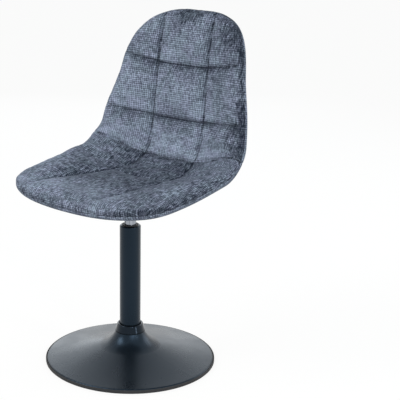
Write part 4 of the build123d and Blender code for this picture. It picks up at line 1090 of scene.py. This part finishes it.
def draw_in(made, plan):
    """Draw in the seams, with small puckers beside them; mark painted shade and the pile's lie."""
    mesh = made.data
    for label in ("seam", "pile"):
        mesh.attributes.new(label, "FLOAT", "POINT")
    across, along, seam_shade_mark, pile_mark = [
        mesh.attributes[label].data for label in ("across", "along", "seam", "pile")]
    normals = [vertex.normal.copy() for vertex in mesh.vertices]
    for number, vertex in enumerate(mesh.vertices):
        u, v = across[number].value, along[number].value
        lean = line_at(v)[2]
        outward = Vector((-u * 2.0, -math.sin(lean), math.cos(lean)))
        facing = max(0.0, min(1.0, normals[number].dot(outward.normalized()) * 2 - 0.4))
        found = seams_near(plan, u, v)
        depth_in = max(math.exp(-(distance / GROOVE_WIDTH) ** 2) * firm
                       for distance, firm, *_ in found)
        near = max(math.exp(-distance / PUCKER_REACH) * firm for distance, firm, *_ in found)
        # Painted shade: a dark line in each seam's fold, and a wider painted shadow below the
        # back's cross seams.
        dark = max(shade * max(math.exp(-(distance / FOLD_WIDTH) ** 2),
                               shadow * math.exp(-(distance / SHADOW_WIDTH) ** 2))
                   for distance, _, shade, shadow in found)
        patchy = 1.0 + 0.4 * noise.noise(Vector((u * 14.0, v * 14.0, 5.0)))
        wave = noise.noise(Vector((u * 95.0, v * 95.0, 3.0))) * near * PUCKER
        swell = noise.noise(Vector((u * 17.0, v * 17.0, 7.0))) * UNEVENNESS
        vertex.co += normals[number] * facing * (wave + swell - GROOVE * depth_in)
        seam_shade_mark[number].value = facing * dark * min(1.0, max(0.6, patchy))
        # The pile mark gets painted light and shade: darker on the rim's sides, which face away,
        # and on the back darker where the cloth tilts up along it, lighter where it tilts down.
        tilt = normals[number].dot(Vector((0.0, math.cos(lean), math.sin(lean))))
        lie_and_shade = pile(u, v) + 0.32 * (1 - facing)
        pile_mark[number].value = lie_and_shade + (
            max(-0.22, min(0.50, tilt * 2.0)) if v > FOLD_SEAM else 0.0)


print("seams drawn in by", GROOVE * 1000, "mm")

# %% [markdown]
# ## Pinning and dressing
# A sewn seam can't move, nor can the side against the shell, and the rest of the cloth is free. The
# pins could be painted by hand as a vertex group. Here they follow from the rows and columns, so
# that none is missed, and the same rows give the seams as lines for the creases and the stitches.
# Every padded piece is then dressed alike: it gets the cloth, rides on the seat's body, and the CAD
# piece it stands for is hidden.

# %% What is held and where the seams are
LOOSE = 0.05                            # a seam that holds less isn't pinned


def held_points(plan, face, rows, columns, under):
    """How firmly each point is held during the simulation: the seams and the underside."""
    held = {number: 1.0 for number in under}
    for i, row in enumerate(rows):
        for j in (columns.index((0, -1.0)), columns.index((0, 1.0))):
            depth = plan_spot(plan, *columns[j], row, PAD_PROFILE[0][0])[1]
            firm = plan.seam_fade(depth)
            if firm > LOOSE:
                held[face[i][j]] = max(firm, held.get(face[i][j], 0.0))
        if row[0] in plan.cross_seams and row[2] == 0 or i == len(rows) - 1:
            firm = plan.hold(row[0]) if i < len(rows) - 1 else 1.0
            held.update({number: max(firm, held.get(number, 0.0)) for number in face[i]})
    return held


def seam_lines(plan, face, rows, columns):
    """The seams as rows of point numbers."""
    lines = {"left": [row[columns.index((0, -1.0))] for row in face],
             "right": [row[columns.index((0, 1.0))] for row in face], "fold": list(face[-1])}
    for i, row in enumerate(rows):
        if row[0] in plan.cross_seams and row[2] == 0:
            lines[f"cross_{len(lines) - 3}"] = list(face[i])
    return lines


def dress(made, cad_node):
    """Chenille and the body it rides on; the CAD piece it stands for is hidden."""
    made.data.materials.append(MATERIALS["chenille"])
    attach(made, "seat")
    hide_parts(cad_node)
    print(made.name, len(made.data.vertices), "vertices")


print("pinned: the side against the shell and what holds more than", LOOSE)

# %% [markdown]
# ## The two cushions
# The seat cushion and the back cushion meet at the fold, and each replaces the plain solid that
# stands for it in the CAD model. They could be one piece, but a real shell of this kind is padded
# in two halves, and the fold between them then comes by itself. All the steps above are put
# together here: laid out, blown up, divided, drawn in and dressed.


def make_cushion(name, plan, cad_node):
    """One quilted cushion: sewn, blown up, divided, drawn in at its seams."""
    columns, rows = lay_columns(32, 26), lay_rows(plan, GRID_STEP)
    form, face, inner, strips, end = closed_form(plan, columns, rows, PAD_PROFILE,
                                                 sewn_height(plan))
    under = {number for skin in (inner, end, strips[-4:]) for row in skin for number in row}
    held = held_points(plan, face, rows, columns, under)
    lines = seam_lines(plan, face, rows, columns)
    made = form.object(name)
    blow_up(made, held)
    creased = {}
    for line in lines.values():
        for a, b in zip(line, line[1:]):
            creased[frozenset((a, b))] = SEAM_CREASE * min(held.get(a, 0.0), held.get(b, 0.0))
    crease_ring(creased, strips[-3], RIM_CREASE)
    divided(made, creased)
    draw_in(made, plan)
    dress(made, cad_node)
    return made, lines


seat_pad, seat_lines = make_cushion("seat_pad", SEAT, "seat_cushion")
back_pad, back_lines = make_cushion("back_pad", BACK, "back_cushion")

# %% [markdown]
# ## Covers behind and under the shell
# From behind and below the shell is hidden too: a thinly padded cover is rolled round its rim and
# meets the cushion there. It could be the same bag as the cushion, but it is stapled on separately
# and has no seams, so it is a mesh of its own from the same plan. It is fuller in its middle or at
# its brim, and needs no simulation, because thin padding simply follows the shell.

# %% The two covers
# Rim of a cover, from its face to the shell: (inset, height over the shell's middle)
COVER_PROFILE = ((0.0105, -0.0102), (0.0078, -0.0098), (0.0048, -0.0086), (0.0026, -0.0064),
                 (0.0009, -0.0034), (0.0004, -0.0005), (RIM_COVER - 0.0006, -0.0005),
                 (RIM_COVER - 0.0006, -0.0046))
COVER_STEP, BRIM_WIDTH = 0.0085, 0.08


def make_cover(name, plan, cad_node, bulge, brim):
    """The padded skin outside the shell: rolled at the rim, fuller in the middle or at the brim."""
    outer = COVER_PROFILE[0][1]

    def height(zone, part, share, depth):
        edge = max(share ** 4, 1 - min(1.0, depth / BRIM_WIDTH))
        return outer - bulge * (1 - edge) - brim * edge

    columns, rows = lay_columns(22, 18), lay_rows(plan, COVER_STEP)
    form, _, _, strips, _ = closed_form(plan, columns, rows, COVER_PROFILE, height)
    made, creased = form.object(name), {}
    crease_ring(creased, strips[-3], RIM_CREASE)
    divided(made, creased)
    # No seam shade on the covers, and a pile mark that paints them darker all over, as painted
    # shade on their lit rims.
    for label, value in (("seam", 0.0), ("pile", 0.58)):
        attribute = made.data.attributes.new(label, "FLOAT", "POINT")
        attribute.data.foreach_set("value", [value] * len(made.data.vertices))
    dress(made, cad_node)
    return made


make_cover("rear_skin", BACK, "rear_cover", bulge=0.0035, brim=0.0)
under_skin = make_cover("under_skin", SEAT, "seat_under_cover", bulge=0.0, brim=0.0016)

# %% [markdown]
# ## A bent wire, over and over
# Stitches and staples are the same thing at two sizes: a short wire, bent over the cloth, that
# repeats along a line. Copying it by hand would take hundreds of copies. Geometry Nodes cut the
# line at an even spacing, set a wire at each cut, turn it along the line and upright on the
# surface, vary its size a little from a fixed seed, and make the copies real with their material.

# %% The wire tree
WIRE_SEED = 7


def wire_tree(name, material, length, rise, sink, radius, spacing):
    """A tree that sets a bent wire at even spacing along a line of edges lying on a surface."""
    tree = bpy.data.node_groups.new(name, "GeometryNodeTree")
    sizes = {"Length": length, "Rise": rise, "Sink": sink,
             "Wire Radius": radius, "Spacing": spacing}
    tree.interface.new_socket("Geometry", in_out="INPUT", socket_type="NodeSocketGeometry")
    for label, value in sizes.items():
        socket = tree.interface.new_socket(label, in_out="INPUT", socket_type="NodeSocketFloat")
        socket.default_value = value
    seed = tree.interface.new_socket("Seed", in_out="INPUT", socket_type="NodeSocketInt")
    seed.default_value = WIRE_SEED
    tree.interface.new_socket("Geometry", in_out="OUTPUT", socket_type="NodeSocketGeometry")
    given = tree.nodes.new("NodeGroupInput").outputs

    def node(kind, inputs=(), output=0, **settings):
        made = tree.nodes.new(kind)
        for setting, value in settings.items():
            setattr(made, setting, value)
        for socket, value in dict(inputs).items():
            if isinstance(value, bpy.types.NodeSocket):
                tree.links.new(value, made.inputs[socket])
            else:
                made.inputs[socket].default_value = value
        return made.outputs[output] if output is not None else made

    def corner(x_share, z):
        x = node("ShaderNodeMath", {0: given["Length"], 1: x_share}, operation="MULTIPLY")
        return node("ShaderNodeCombineXYZ", {0: x, 2: z})

    below = node("ShaderNodeMath", {0: given["Sink"], 1: -1.0}, operation="MULTIPLY")
    wire = node("GeometryNodeCurvePrimitiveBezierSegment", {
        "Resolution": 5, "Start": corner(-0.5, below), "Start Handle": corner(-0.45, given["Rise"]),
        "End Handle": corner(0.45, given["Rise"]), "End": corner(0.5, below)}, mode="POSITION")
    round_wire = node("GeometryNodeCurvePrimitiveCircle", {
        "Resolution": 5, "Radius": given["Wire Radius"]})
    bent = node("GeometryNodeCurveToMesh", {
        "Curve": wire, "Profile Curve": round_wire, "Fill Caps": True})
    line = node("GeometryNodeMeshToCurve", {"Mesh": given["Geometry"]})
    even = node("GeometryNodeResampleCurve", {"Curve": line, "Length": given["Spacing"]},
                mode="LENGTH")
    cuts = node("GeometryNodeCurveToPoints", {"Curve": even}, output=None, mode="EVALUATED")
    lift = node("GeometryNodeInputNamedAttribute", {"Name": "lift"}, data_type="FLOAT_VECTOR")
    along = node("FunctionNodeAlignRotationToVector", {"Vector": cuts.outputs["Tangent"]}, axis="X")
    upright = node("FunctionNodeAlignRotationToVector", {"Rotation": along, "Vector": lift},
                   axis="Z", pivot_axis="X")
    size = node("FunctionNodeRandomValue", {2: 0.9, 3: 1.1, "Seed": given["Seed"]},
                output=1, data_type="FLOAT")
    copies = node("GeometryNodeInstanceOnPoints", {
        "Points": cuts.outputs["Points"], "Instance": bent, "Rotation": upright, "Scale": size})
    real = node("GeometryNodeRealizeInstances", {"Geometry": copies})
    result = node("GeometryNodeSetMaterial", {"Geometry": real, "Material": material})
    tree.links.new(result, tree.nodes.new("NodeGroupOutput").inputs[0])
    return tree


print("a wire's size varies from the seed", WIRE_SEED)

# %% [markdown]
# ## Wires along lines
# A line is a row of points with edges between them, and each point carries the way the cloth faces
# there, as a named attribute, so that the wires know which way is up. The tree could look for the
# cloth itself, but a short list of points is simpler and exact. The input of the modifier is set by
# its socket's identifier, the result becomes a plain mesh and the modifier is taken off again,
# because an export leaves instances out.

# %% Wires along lines
def set_along(name, tree, lines, spacing):
    """The wires of a tree along lines of (point, surface normal), as a plain mesh."""
    mesh = bpy.data.meshes.new(name)
    spots, edges = [], []
    for line in lines:
        edges += [(len(spots) + k, len(spots) + k + 1) for k in range(len(line) - 1)]
        spots += line
    mesh.from_pydata([tuple(point) for point, normal in spots], edges, [])
    lift = mesh.attributes.new("lift", "FLOAT_VECTOR", "POINT").data
    for number, (point, normal) in enumerate(spots):
        lift[number].vector = normal
    made = bpy.data.objects.new(name, mesh)
    bpy.context.scene.collection.objects.link(made)
    wires = made.modifiers.new("wires", "NODES")
    wires.node_group = tree
    sockets = {item.name: item.identifier for item in tree.interface.items_tree
               if item.in_out == "INPUT"}
    wires[sockets["Spacing"]] = spacing
    shape = made.evaluated_get(bpy.context.evaluated_depsgraph_get())
    made.data = bpy.data.meshes.new_from_object(shape)
    made.modifiers.clear()
    for polygon in made.data.polygons:
        polygon.use_smooth = True
    print(name, len(made.data.polygons), "faces")
    return made


print("ready to set wires along any line of (point, normal)")

# %% [markdown]
# ## Stitches
# The seams are sewn with a doubled dark thread whose stitches sink into the fold. A dark line in
# the material would look the same from afar, but close up it has no thickness. The lines are read
# off the finished cushions, so the stitches sit in the grooves that were drawn in. The fold has
# none, since its sewing is hidden, nor have the seat's cross seam and its loose front.

# %% Stitches
STITCH_SPACING = 0.0064
FIRM_ENOUGH = 0.5                       # a seam that holds less than this shows no stitches


def sewn_lines(made, lines, plan):
    """Seams as (point, normal) lines, without the fold, the seat's cross seam or the loose front.
    """
    along = made.data.attributes["along"].data
    vertices = made.data.vertices
    found = []
    for label, numbers in lines.items():
        if label == "fold" or (label.startswith("cross") and plan is SEAT):
            continue
        kept = [number for number in numbers
                if plan.seam_fade((along[number].value - plan.origin) * plan.sign) > FIRM_ENOUGH]
        found.append([(vertices[number].co.copy(), vertices[number].normal.copy())
                      for number in kept])
    return found


thread = painted("sewing_thread", colour=(0.016, 0.020, 0.032), roughness=0.6, grain=2600.0,
                 depth=0.0001)
stitch_tree = wire_tree("stitch", thread, length=0.0046, rise=0.0012, sink=0.0008, radius=0.0005,
                        spacing=STITCH_SPACING)
stitches = set_along("stitches", stitch_tree, sewn_lines(seat_pad, seat_lines, SEAT)
                     + sewn_lines(back_pad, back_lines, BACK), STITCH_SPACING)
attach(stitches, "seat")

# %% [markdown]
# ## Staples
# Under the seat the cover is held by wire staples, shot through it into the moulded shell all round
# the edge. They could be laid on the plan, but the cover was rounded by the subdivision since, and
# a staple would float or drown. So rays are sent up at the cover from below, and each gives a point
# on the cloth and the way it faces.

# %% Staples
STAPLE_SPACING, STAPLE_INSET = 0.030, 0.024
SIDE_STEP, FOLD_MARGIN = 0.012, 0.010   # spots along the sides, and what stays free at the fold
FRONT_SPOTS, FRONT_SHARE = 20, 0.97     # spots on half the front, and how far out they go
BELOW_THE_COVER = -0.040                # where the rays start, from the shell's middle


def staple_line(cover, plan, inset):
    """A line round the under cover's face, found on the surface itself from below."""
    surface = BVHTree.FromObject(cover, bpy.context.evaluated_depsgraph_get())
    count = int((plan.length - plan.round_length) / SIDE_STEP)
    depths = [plan.length - FOLD_MARGIN - SIDE_STEP * k for k in range(count)]
    spots = [(-1, depth) for depth in depths]
    for k in range(1 - FRONT_SPOTS, FRONT_SPOTS):
        share = FRONT_SHARE * (k / FRONT_SPOTS)
        spots.append((share, plan.outline_depth(share, inset)))
    spots += [(1, depth) for depth in reversed(depths)]
    line = []
    for share, depth in spots:
        sideways = share * plan.half(depth, inset)
        start = place(plan.along(depth), sideways, BELOW_THE_COVER)
        inside = place(plan.along(depth), sideways, 0.0)
        point, normal, *_ = surface.ray_cast(start, (inside - start).normalized())
        if point is not None:
            line.append((point, normal))
    return line


staple_tree = wire_tree("staple", MATERIALS["zinc_steel"], length=0.0110, rise=0.0019, sink=0.0035,
                        radius=0.00055, spacing=STAPLE_SPACING)
staples = set_along("cover_staples", staple_tree, [staple_line(under_skin, SEAT, STAPLE_INSET)],
                    STAPLE_SPACING)
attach(staples, "seat")

# %% [markdown]
# ## End
# Padding may stand out a little past the box of the CAD model, but a chair that grew would no
# longer fit its own numbers.
